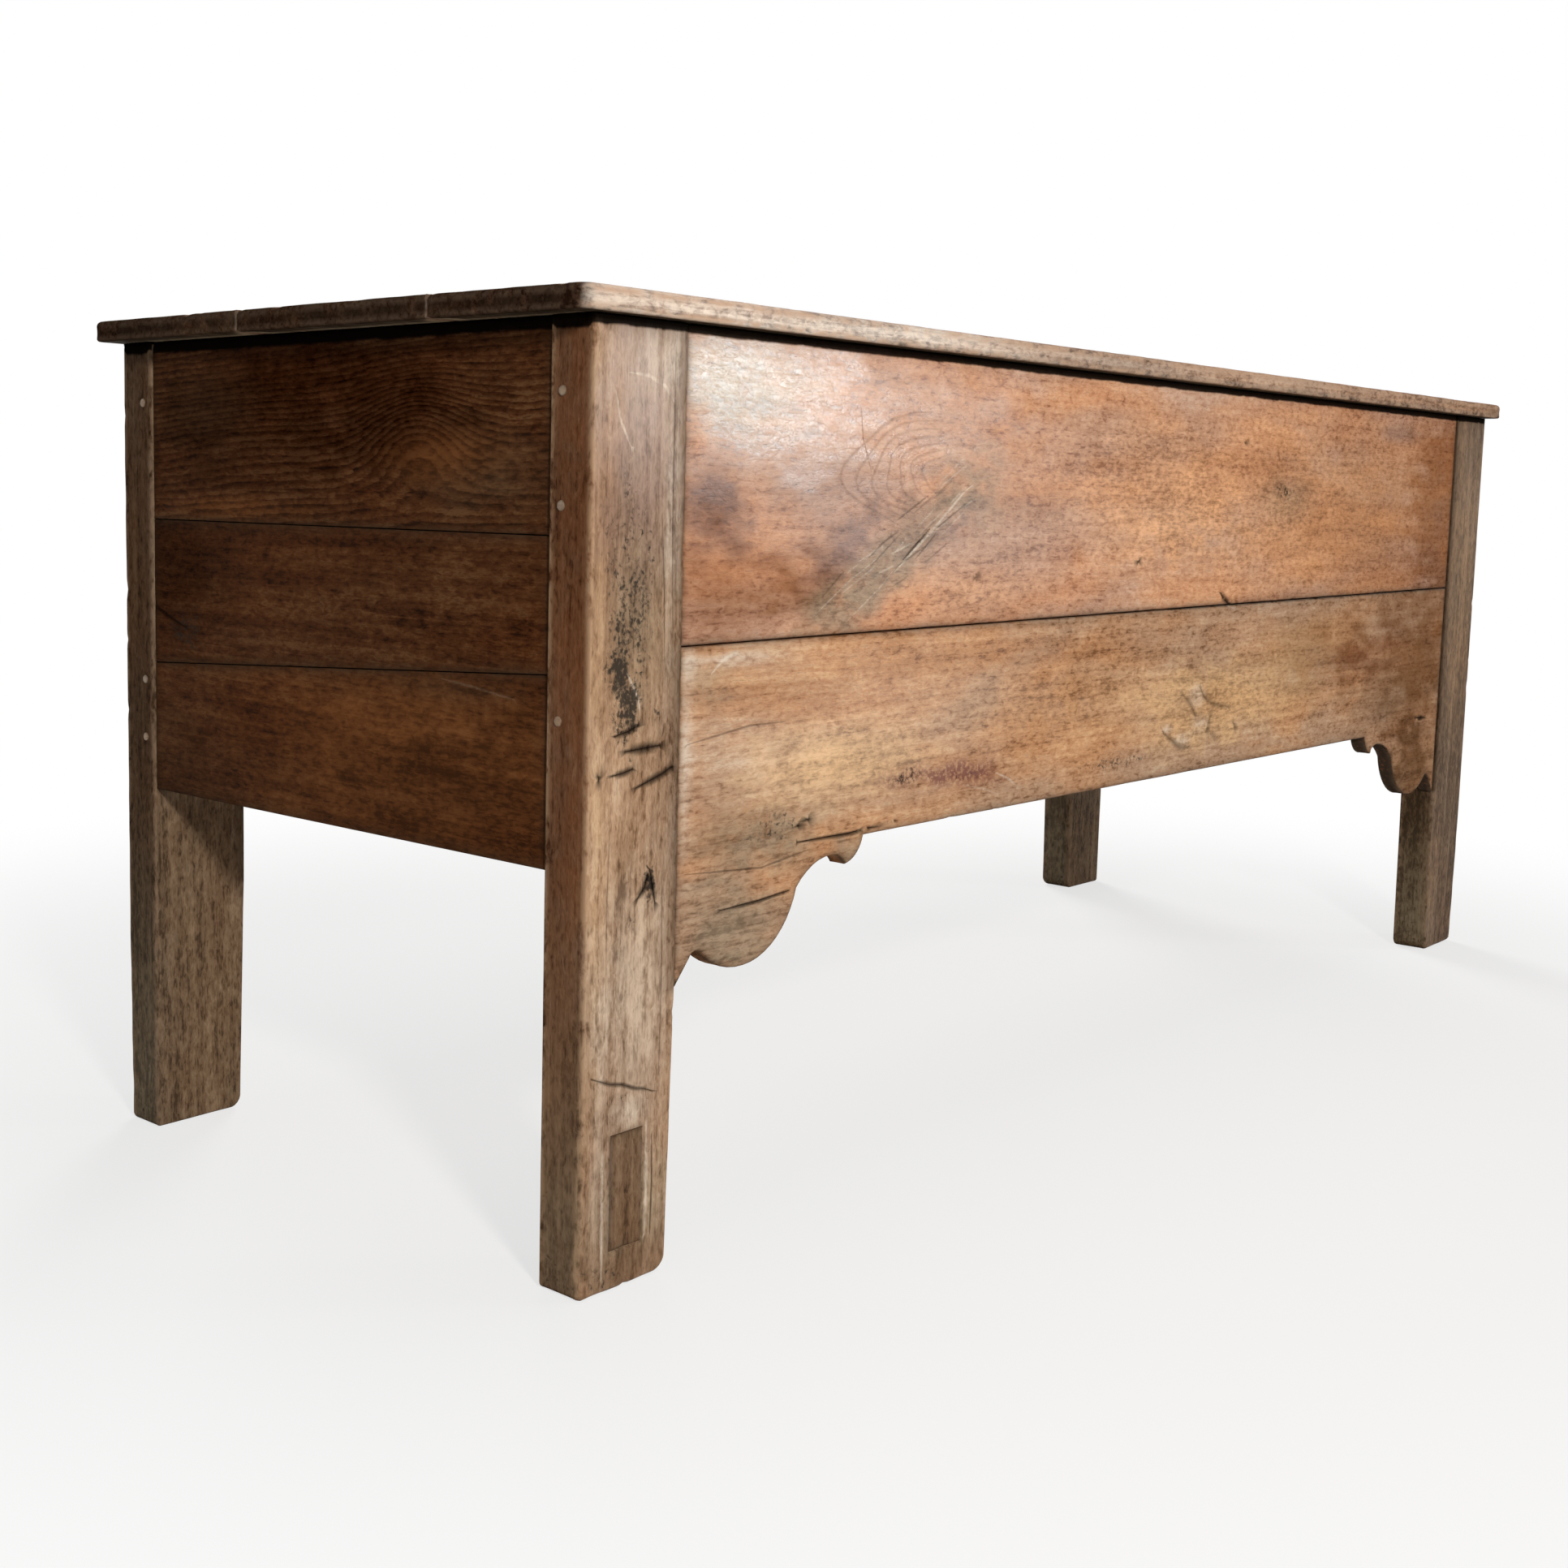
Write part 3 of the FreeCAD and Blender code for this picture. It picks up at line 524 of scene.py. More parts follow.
        # Dirt along joints; along a free edge given a seam it is painted shade
        dirt_and_edge_shade = np.exp(-self.edge_gaps / (creep * MM)) * close
        local = self.places - self.middle
        self.values = {
            "grain": local + np.array([3.1, 1.7, 2.3]) * (seed % 29),
            "rings": self.ring_field(local, pith, tilt, knots),
            "marks": amounts[:, :3],
            "tints": amounts[:, 3:6],
            # Its last column is the depth below the lid, for the painted shadow there
            "finish_and_lid_shadow": np.column_stack([amounts[:, SHINE], amounts[:, PLUM], under_lid]),
            "wear": np.column_stack([worn, dirt_and_edge_shade, cracks]),
        }
        return self

    def ring_field(self, local, pith, tilt, knots):
        """How far from the heart of its tree each point of the board grew."""
        wander = 0.012 * rough_noise(local * np.array([1.6, 5, 5]) + self.seed * 0.37, self.seed + 8, 2)
        across = local[:, 1] - pith[0] + tilt * local[:, 0] + wander
        field = np.hypot(across, local[:, 2] - pith[1])
        for middle, reach, lift in knots:
            offset = (self.places[:, :2] - np.array(middle) * MM) / (np.array(reach) * MM)
            field = field + lift * MM * np.exp(-(offset ** 2).sum(axis=1))
        return field

    def mesh(self):
        """The board's mesh, which keeps its values for the material to read."""
        mesh = bpy.data.meshes.new(self.node)
        mesh.from_pydata((self.places @ self.axes).tolist(), [], self.faces)
        mesh.shade_smooth()
        for name, values in self.values.items():
            values = np.asarray(values, np.float32)
            kind, key = ("FLOAT", "value") if values.ndim == 1 else ("FLOAT_VECTOR", "vector")
            mesh.attributes.new(name, kind, "POINT").data.foreach_set(key, values.ravel())
        return mesh

    def set_up(self, body, slot, material):
        """Put the board in the scene in place of its solid."""
        set_up(f"{self.node}_wood", self.mesh(), self.node, body, material)


def set_up(name, mesh, node, body, material):
    """Put a piece in the scene in place of a solid."""
    piece = bpy.data.objects.new(name, mesh)
    bpy.context.scene.collection.objects.link(piece)
    mesh.materials.append(material)
    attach(piece, body)
    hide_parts(node)


# Materials

class Nodes:
    """Short ways to add and link the nodes of a material or a world."""

    def __init__(self, owner):
        owner.use_nodes = True
        self.tree = owner.node_tree
        self.tree.nodes.clear()

    def feed(self, socket, value):
        if isinstance(value, bpy.types.NodeSocket):
            self.tree.links.new(value, socket)
        else:
            socket.default_value = value

    def add(self, kind, inputs, **settings):
        node = self.tree.nodes.new(f"ShaderNode{kind}")
        for name, value in settings.items():
            setattr(node, name, value)
        for key, value in inputs.items():
            self.feed(node.inputs[key], value)
        return node

    def attribute(self, name):
        return self.add("Attribute", {}, attribute_name=name)

    def parts(self, name):
        """The three numbers of a kept vector."""
        return self.add("SeparateXYZ", {0: self.attribute(name).outputs["Vector"]}).outputs

    def math(self, operation, first, second=0.0, third=0.0):
        return self.add("Math", {0: first, 1: second, 2: third}, operation=operation).outputs[0]

    def times(self, first, second):
        return self.math("MULTIPLY", first, second)

    def plus(self, first, second):
        return self.math("ADD", first, second)

    def swing(self, value, depth):
        """A noise value turned to swing about 0."""
        return self.math("MULTIPLY_ADD", value, depth, -0.5 * depth)

    def total(self, *values):
        result = values[0]
        for value in values[1:]:
            result = self.plus(result, value)
        return result

    def scaled(self, vector, factors):
        return self.add("VectorMath", {0: vector, 1: factors}, operation="MULTIPLY").outputs[0]

    def noise(self, vector, factors, detail=3.0, roughness=0.55, distortion=0.0):
        inputs = {"Vector": self.scaled(vector, factors), "Scale": 1.0, "Detail": detail,
                  "Roughness": roughness, "Distortion": distortion}
        return self.add("TexNoise", inputs).outputs["Fac"]

    def range(self, value, low, high, to_low=0.0, to_high=1.0):
        inputs = {"Value": value, "From Min": low, "From Max": high, "To Min": to_low, "To Max": to_high}
        return self.add("MapRange", inputs, interpolation_type="SMOOTHSTEP").outputs[0]

    def mix(self, factor, first, second, blend="MIX"):
        node = self.add("Mix", {0: factor, 6: first, 7: second}, data_type="RGBA", blend_type=blend)
        return node.outputs[2]

    def ramp(self, factor, stops):
        node = self.add("ValToRGB", {0: factor})
        elements = node.color_ramp.elements
        while len(elements) < len(stops):
            elements.new(0.5)
        for element, (position, colour) in zip(elements, stops):
            element.position = position
            element.color = (*colour, 1.0)
        return node.outputs[0]


WHITE = (1, 1, 1, 1)
# Black of cracks and holes, and of the painted shadow under the lid
CRACK_AND_SHADOW_BLACK = (0.004, 0.003, 0.0025, 1)
PLUM_COLOUR = (0.25, 0.155, 0.13)
STAIN_COLOUR = (0.034, 0.028, 0.023, 1)
RED_COLOUR = (0.20, 0.072, 0.052, 1)
# Dirt at joints, and painted shade along free edges given a seam
GRIME_AND_EDGE_SHADE = (0.035, 0.022, 0.014, 1)

# Clouds of patina shift a colour between these two
COOL_SHIFT = (0.93, 1.0, 1.1, 1)
WARM_SHIFT = (1.08, 0.97, 0.84, 1)

# Specular level of a polished place, and the strength of the grain's relief
POLISH = 0.7
GRAIN_BUMP = 0.55


def old_wood(name, tones, cloud=0.9, streak=0.6, mottle=0.55, fleck=0.5, ring=0.12, ring_width=4.5,
             hue=0.6, worn=(0.6, 0.45, 0.33), worn_depth=0.7, pale=(0.62, 0.52, 0.42),
             grey=(0.27, 0.225, 0.15), gold=(0.62, 0.385, 0.17), brown=(0.48, 0.36, 0.27),
             roughness=0.44, specular=0.03, sheen_tint=(1.0, 0.9, 0.8)):
    """Old wood from its tones, dark to light, with growth rings, fibre, clouds of patina and wear."""
    material = bpy.data.materials.new(name)
    n = Nodes(material)
    grain = n.attribute("grain").outputs["Vector"]
    rings = n.attribute("rings").outputs["Fac"]
    stained, paled, reddened = n.parts("marks")
    greyed, gilded, browned = n.parts("tints")
    rubbed, dirty_and_edge_shaded, cracked = n.parts("wear")
    polished, plum, under_lid = n.parts("finish_and_lid_shadow")

    clouds = n.noise(grain, (2.6, 9, 9), 4, 0.55, 0.5)
    hues = n.noise(grain, (3.7, 13, 13), 3, 0.5, 0.4)
    streaks = n.noise(grain, (4.5, 105, 105), 5, 0.62, 0.5)
    blotches = n.noise(grain, (24, 46, 46), 4, 0.6, 0.8)
    mottles = n.noise(grain, (95, 190, 190), 4, 0.62, 0.5)
    specks = n.noise(grain, (190, 210, 210), 3, 0.6, 0.3)
    fibres = n.noise(grain, (95, 560, 560), 3, 0.6)

    phase = n.total(n.times(rings, 1000 / ring_width), n.swing(streaks, 1.4), n.swing(blotches, 0.9))
    turn = n.math("FRACT", phase)
    late = n.times(n.range(turn, 0.2, 0.85), n.range(turn, 1.0, 0.88))
    late = n.times(late, n.range(clouds, 0.35, 0.65, 0.3, 1.0))
    tone = n.total(n.swing(clouds, cloud), n.swing(streaks, streak), n.swing(blotches, cloud * 0.6),
                   n.swing(mottles, mottle), n.swing(fibres, mottle * 0.7), n.times(late, -ring))
    tone = n.plus(tone, 0.5 + ring * 0.4)
    colour = n.ramp(tone, [(index / (len(tones) - 1), shade) for index, shade in enumerate(tones)])
    shift = n.mix(n.range(hues, 0.33, 0.67), COOL_SHIFT, WARM_SHIFT)
    colour = n.mix(hue, colour, n.mix(1.0, colour, shift, "MULTIPLY"))

    pits = n.times(n.range(n.plus(fibres, n.swing(mottles, 0.5)), 0.56, 0.69), fleck)
    colour = n.mix(pits, colour, (*tones[0], 1))
    depth = n.range(tone, 0.0, 1.0, 0.6, 1.4)
    patchy = n.range(blotches, 0.2, 0.6, 0.4, 0.9)
    cloudy = n.range(clouds, 0.25, 0.65, 0.25, 0.7)
    tints = ((greyed, patchy, grey), (gilded, cloudy, gold), (plum, patchy, PLUM_COLOUR))
    for amount, pattern, tint in tints:
        colour = n.mix(n.times(amount, pattern), colour, n.mix(1.0, (*tint, 1), depth, "MULTIPLY"))
    shade = n.times(browned, n.range(blotches, 0.2, 0.6, 0.75, 1.0))
    colour = n.mix(shade, colour, n.mix(1.0, colour, (*brown, 1), "MULTIPLY"))

    flush = n.times(reddened, n.range(specks, 0.40, 0.54, 0.3, 1.0))
    colour = n.mix(n.times(flush, 0.9), colour, RED_COLOUR)
    bleach = n.times(paled, n.range(n.plus(streaks, n.swing(mottles, 0.6)), 0.3, 0.62, 0.25, 0.85))
    bleached = n.mix(1.0, (*pale, 1), depth, "MULTIPLY")
    colour = n.mix(bleach, colour, n.mix(0.6, (*pale, 1), bleached))
    soak = n.total(stained, n.swing(specks, 2.4), n.swing(mottles, 1.2))
    soaked = n.times(n.range(soak, 0.32, 0.95), n.range(stained, 0.0, 0.25))
    colour = n.mix(n.times(soaked, 0.92), colour, STAIN_COLOUR)
    # Dirt at joints, and painted shade along free edges given a seam
    colour = n.mix(n.times(dirty_and_edge_shaded, n.range(blotches, 0.2, 0.65, 0.3, 0.9)), colour, GRIME_AND_EDGE_SHADE)
    bare = n.times(n.times(rubbed, n.range(n.plus(blotches, n.swing(mottles, 0.6)), 0.3, 0.62)), worn_depth)
    colour = n.mix(bare, colour, (*worn, 1))
    # Painted shadow under the lid's overhang, mixed to black together with the cracks
    lid_shadow = n.range(n.plus(under_lid, n.swing(blotches, 0.5)), 1.15, 0.85)
    black = n.math("MAXIMUM", cracked, lid_shadow)
    colour = n.mix(n.times(black, 0.97), colour, CRACK_AND_SHADOW_BLACK)

    dull = n.math("MAXIMUM", n.math("MAXIMUM", black, soaked), browned)
    shine = n.times(n.math("MULTIPLY_ADD", polished, POLISH, specular), n.math("SUBTRACT", 1.0, dull))
    gloss = n.total(n.swing(clouds, -0.2), n.swing(mottles, 0.25), n.times(n.plus(soaked, bare), 0.14))
    gloss = n.total(gloss, n.times(n.plus(dirty_and_edge_shaded, black), 0.25), n.times(polished, -0.1), roughness)
    height = n.total(n.times(fibres, 0.3), n.times(late, 0.12), n.times(blotches, 0.8),
                     n.times(mottles, 0.8), n.times(pits, -0.35))
    surface = n.add("Bump", {"Height": height, "Strength": GRAIN_BUMP, "Distance": 0.9 * MM})
    shader = n.add("BsdfPrincipled", {
        "Base Color": colour, "Roughness": n.math("MINIMUM", gloss, 0.85), "Normal": surface.outputs[0],
        "Specular IOR Level": shine, "Specular Tint": (*sheen_tint, 1),
    })
    n.add("OutputMaterial", {"Surface": shader.outputs[0]})
    return material


IRON_COLOUR = (0.035, 0.031, 0.029, 1)
RUST_COLOUR = (0.14, 0.052, 0.022, 1)
PIT_COLOUR = (0.012, 0.01, 0.009, 1)


def forged_iron():
    """Dark forged iron, hammered, with brown rust in patches."""
    material = bpy.data.materials.new("forged_iron")
    n = Nodes(material)
    place = n.add("TexCoord", {}).outputs["Object"]
    hammer = n.add("TexVoronoi", {"Vector": n.scaled(place, (95, 95, 95)), "Scale": 1.0},
                   feature="SMOOTH_F1").outputs["Distance"]
    scale = n.noise(place, (60, 60, 60), 6, 0.65)
    grain = n.noise(place, (600, 600, 600), 3, 0.6)
    rust = n.range(n.plus(scale, n.swing(grain, 0.35)), 0.47, 0.68)
    colour = n.mix(rust, IRON_COLOUR, RUST_COLOUR)
    colour = n.mix(n.times(n.range(grain, 0.55, 0.75), 0.5), colour, PIT_COLOUR)
    height = n.total(hammer, n.times(scale, 0.5), n.times(grain, 0.2))
    surface = n.add("Bump", {"Height": height, "Strength": 0.6, "Distance": 1.2 * MM})
    shader = n.add("BsdfPrincipled", {
        "Base Color": colour, "Metallic": n.range(rust, 0.0, 1.0, 0.85, 0.1),
        "Roughness": n.range(rust, 0.0, 1.0, 0.42, 0.85), "Normal": surface.outputs[0],
    })
    n.add("OutputMaterial", {"Surface": shader.outputs[0]})
    return material


UPPER_FRONT = old_wood(
    "upper_front_wood",
    [(0.28, 0.125, 0.072), (0.46, 0.235, 0.138), (0.59, 0.32, 0.194), (0.68, 0.4, 0.252),
     (0.78, 0.505, 0.35)],
    cloud=1.1, streak=0.8, mottle=1.7, fleck=0.45, ring=0.04, hue=1.0, roughness=0.36, specular=0.0,
    grey=(0.35, 0.265, 0.185), gold=(0.78, 0.4, 0.185), brown=(0.52, 0.41, 0.32),
    sheen_tint=(0.88, 0.98, 1.0),
)
LOWER_FRONT = old_wood(
    "lower_front_wood",
    [(0.2, 0.1, 0.052), (0.38, 0.205, 0.112), (0.51, 0.293, 0.168), (0.6, 0.37, 0.222),
     (0.71, 0.49, 0.315)],
    cloud=1.3, streak=1.2, mottle=1.6, fleck=0.4, ring=0.06, hue=1.0, roughness=0.42, specular=0.0,
    gold=(0.62, 0.385, 0.19), grey=(0.3, 0.228, 0.155), brown=(0.43, 0.31, 0.22),
    sheen_tint=(0.95, 1.0, 0.98),
)
LEG = old_wood(
    "leg_wood",
    [(0.115, 0.062, 0.034), (0.25, 0.15, 0.088), (0.36, 0.232, 0.148), (0.46, 0.31, 0.205),
     (0.57, 0.42, 0.295)],
    cloud=1.5, streak=1.3, mottle=1.6, ring=0.1,
    brown=(0.36, 0.185, 0.095), worn=(0.5, 0.33, 0.2), gold=(0.48, 0.31, 0.17),
)
REAR_LEG = old_wood(
    "rear_leg_wood",
    [(0.05, 0.028, 0.015), (0.115, 0.066, 0.037), (0.165, 0.1, 0.058), (0.21, 0.135, 0.082),
     (0.28, 0.19, 0.125)],
    cloud=1.4, streak=1.7, mottle=2.2, fleck=0.6, ring=0.1, brown=(0.42, 0.34, 0.28),
    worn=(0.3, 0.2, 0.13), pale=(0.34, 0.25, 0.17), gold=(0.3, 0.175, 0.09),
)
END_LOOK = {
    "tones": [(0.018, 0.005, 0.0015), (0.047, 0.0145, 0.0045), (0.08, 0.026, 0.0085),
              (0.115, 0.042, 0.0145), (0.17, 0.075, 0.03)],
    "cloud": 1.4, "streak": 1.2, "mottle": 1.7, "specular": 0.02, "roughness": 0.5,
    "sheen_tint": (1.0, 0.75, 0.5), "grey": (0.085, 0.05, 0.026), "gold": (0.215, 0.078, 0.024),
    "brown": (0.4, 0.36, 0.36), "pale": (0.3, 0.2, 0.13), "worn": (0.16, 0.08, 0.04),
}
END = old_wood("end_wood", ring=0.15, **END_LOOK)
FIGURED_END = old_wood("figured_end_wood", ring=0.5, ring_width=6.5, **END_LOOK)
LID = old_wood(
    "lid_wood",
    [(0.1, 0.045, 0.024), (0.23, 0.115, 0.064), (0.34, 0.185, 0.108), (0.43, 0.255, 0.158),
     (0.54, 0.36, 0.24)],
    cloud=1.6, streak=1.2, mottle=1.9, roughness=0.54, worn=(0.52, 0.34, 0.23), worn_depth=0.9,
    brown=(0.056, 0.048, 0.042), pale=(0.78, 0.68, 0.58), gold=(0.5, 0.27, 0.135),
)
INNER = old_wood(
    "inner_wood",
    [(0.1, 0.06, 0.036), (0.2, 0.128, 0.078), (0.29, 0.192, 0.12), (0.36, 0.25, 0.162),
     (0.45, 0.33, 0.22)],
    cloud=1.4, streak=1.2, mottle=1.7, fleck=0.4, ring=0.2, roughness=0.66,
)
PATCH = old_wood(
    "patch_wood",
    [(0.06, 0.034, 0.019), (0.125, 0.074, 0.042), (0.18, 0.11, 0.064), (0.23, 0.147, 0.088),
     (0.3, 0.205, 0.13)],
    cloud=1.2, streak=1.4, mottle=1.6, ring=0.1,
)
PEG = old_wood(
    "peg_wood",
    [(0.09, 0.05, 0.028), (0.22, 0.14, 0.085), (0.33, 0.23, 0.15), (0.44, 0.33, 0.23),
     (0.55, 0.44, 0.32)],
    cloud=0.6, roughness=0.34, specular=0.4,
)
IRON = forged_iron()


# Legs

LEG_MIDDLE = 876
LEG_FOOT_TAPER = 6
LEG_TAPER_HEIGHT = 240
INNER_FOOT_RADIUS = 13
OUTER_FOOT_RADIUS = 5

# Heights to which a foot is rounded by wear, grey from damp, and dirty
FOOT_WEAR = 200
FOOT_GREY = 300
FOOT_DIRT = 70


def make_leg(row, side, seed, marks, grooves=(), pockets=(), side_brown=0.9, back_brown=0.5, wood=LEG):
    out = -Y_AXIS if row == "front" else Y_AXIS
    board = Board(f"leg_{row}_{side}", Z_AXIS, out, seed)
    outer_is_high = (row == "front") == (side == "left")
    foot, top = board.low[0], board.high[0]
    left, right = board.low[1], board.high[1]
    taper = LEG_FOOT_TAPER * MM
    bend = LEG_TAPER_HEIGHT * MM
    if outer_is_high:
        corners = [(foot, left + taper), (bend, left), (top, left), (top, right), (foot, right)]
        radii = [INNER_FOOT_RADIUS, 0, 0, 0, OUTER_FOOT_RADIUS]
    else:
        corners = [(foot, left), (top, left), (top, right), (bend, right), (foot, right - taper)]
        radii = [OUTER_FOOT_RADIUS, 0, 0, 0, INNER_FOOT_RADIUS]
    outline = softened(np.array(corners), np.array(radii) * MM)
    outer_way = 1 if outer_is_high else -1
    box_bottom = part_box("front_board_lower")[0].z

    def arris(rim, normals):
        outer = np.clip(normals[:, 1] * outer_way, 0, 1)
        floor_end = np.clip(-normals[:, 0], 0, 1)
        low = np.clip(1 - rim[:, 0] / (FOOT_WEAR * MM), 0, 1)
        return 1.6 + outer * (0.7 + 4.5 * low) + 4.5 * floor_end

    def seam(rim, normals):
        inner = np.clip(-normals[:, 1] * outer_way, 0, 1) * (rim[:, 0] > box_bottom)
        return np.maximum(inner, np.clip(normals[:, 0], 0, 1))

    def wall_marks(rim, normals):
        low = np.clip(1.2 - rim[:, 0] / (FOOT_GREY * MM), 0, 1)
        foot_dirt = np.clip(1 - rim[:, 0] / (FOOT_DIRT * MM), 0, 1)
        return {BROWN: side_brown * (1 - 0.4 * low), GREY: 0.9 * low, STAIN: 0.4 * foot_dirt}

    board.carve(outline, arris, back_arris=2.5, spacing=5, chips=6, inset=0.9,
                grooves=grooves, pockets=pockets)
    # Its top is painted black as shadow under the lid
    board.paint(marks, seam, lid_shadow_axis=0, wall_marks=wall_marks, wrap=1.5, pith=(0.02, -0.05), tilt=0.012,
                back_grey=0.2, back_brown=back_brown)
    board.set_up("carcass", "leg_wood", wood)


def make_legs():
    patch_low, patch_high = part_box("leg_patch")
    pocket = Pocket((patch_low.z, -patch_high.x), (patch_high.z, -patch_low.x), patch_high.y - patch_low.y)
    near_marks = marks_from({
        PLUM: [((680, 876), (100, 60), 0.75)],
        PALE: [
            ((752, 850), (26, 30), 0.5), ((715, 870), (60, 50), 0.2), ((640, 838), (110, 9), 0.65),
            ((250, 880), (80, 46), 0.5), ((147, 877), (12, 19), 0.75), ((150, 913), (120, 9), 0.3),
        ],
        SHINE: [((740, 870), (90, 60), 0.5)],
        STAIN: [
            ((545, 885), (110, 30), 0.58, 0, 0.6), ((480, 888), (34, 22), 0.5, 0, 0.9),
            ((470, 853), (10, 9), 0.6), ((332, 857), (17, 9), 0.85), ((303, 879), (7, 7), 0.7),
            ((12, 900), (26, 30), 0.4, 0, 0.8), ((160, 884), (6, 9), 0.6),
        ],
        BROWN: [
            ((560, 880), (120, 40), 0.4), ((16, 872), (40, 60), 0.7), ((90, 915), (60, 14), 0.25),
            ((560, 916), (160, 14), 0.15),
        ],
        GOLD: [((540, 920), (150, 9), 0.45), ((230, 916), (190, 9), 0.5), ((270, 880), (90, 50), 0.5)],
        GREY: [((560, 876), (120, 40), 0.65), ((40, 872), (70, 60), 0.8)],
    })
    near_grooves = [
        Groove([(737, 890), (736, 869), (729, 850), (715, 836)], 1.8, 0.3, 0, 1),
        Groove([(721, 905), (699, 899), (678, 886)], 1.6, 0.3, 0, 0.9),
        Groove([(505, 888), (483, 874), (472, 872)], 1.8, 0.3, 0, 0.9),
        Groove([(626, 835), (631, 835)], 5, 0.6, 0, 1),
        Groove([(625, 850), (565, 846), (508, 844)], 1.0, 0.6, 0.6),
        Groove([(760, 838), (625, 838), (507, 834)], 1.0, 0.6, 0.45),
        Groove([(442, 887), (443, 865), (444, 846)], 5.5, 0.8),
        Groove([(455, 900), (458, 884), (462, 872)], 4.0, 0.8),
        Groove([(424, 902), (425, 890), (428, 876)], 4.0, 0.7),
        Groove([(412, 874), (420, 845), (428, 826)], 4.6, 0.8),
        Groove([(422, 917), (427, 917)], 6, 1.5),
        Groove([(322, 870), (330, 862), (340, 859)], 4.6, 0.8),
        Groove([(316, 850), (330, 853), (346, 857)], 3.6, 0.8),
        Groove([(183, 920), (178, 908), (174, 898), (171, 884), (165, 870), (162, 858), (157, 846)],
               2.4, 1.6, 0.85),
        Groove([(132, 906), (70, 906), (11, 905)], 2.2, 0.4, 0, 0.9),
        Groove([(131, 855), (80, 854), (36, 855)], 3.0, 0.4, 0, 0.9),
        Groove([(121, 848), (80, 847), (33, 848)], 1.4, 1.0, 0.8),
        Groove([(340, 842), (250, 840), (170, 841)], 1.0, 0.6, 0.5),
        Groove([(400, 903), (320, 906), (240, 905)], 0.9, 0.5, 0.4),
    ]
    make_leg("front", "left", 11, near_marks, near_grooves, [pocket])
    far_middle = (400, -LEG_MIDDLE)
    far_marks = [Spot(GREY, far_middle, (500, 120), 0.1), Spot(GOLD, far_middle, (420, 60), 0.9)]
    far_grooves = [Groove([(40, -876), (300, -872), (640, -878)], 1.4, 0.6, 0, 0.7)]
    make_leg("front", "right", 12, far_marks, far_grooves, side_brown=1.0, wood=REAR_LEG)
    rear_looks = (("left", -1, 13, 0.8, 0.1), ("right", 1, 14, 0.6, 0.3))
    for side, way, seed, side_brown, back_brown in rear_looks:
        shade = Spot(BROWN, (390, way * LEG_MIDDLE), (500, 120), 0.3)
        make_leg("rear", side, seed, [shade], side_brown=side_brown, back_brown=back_brown, wood=REAR_LEG)
    patch = Board("leg_patch", Z_AXIS, -Y_AXIS, 15)
    patch.carve(patch.rectangle(), even(0.8), 0.5, spacing=4, inset=0.6, relief=0.5, chips=6)
    patch.paint(creep=2.5)
    patch.set_up("carcass", "patch_wood", PATCH)


# Front boards

BESIDE_LEG = 815


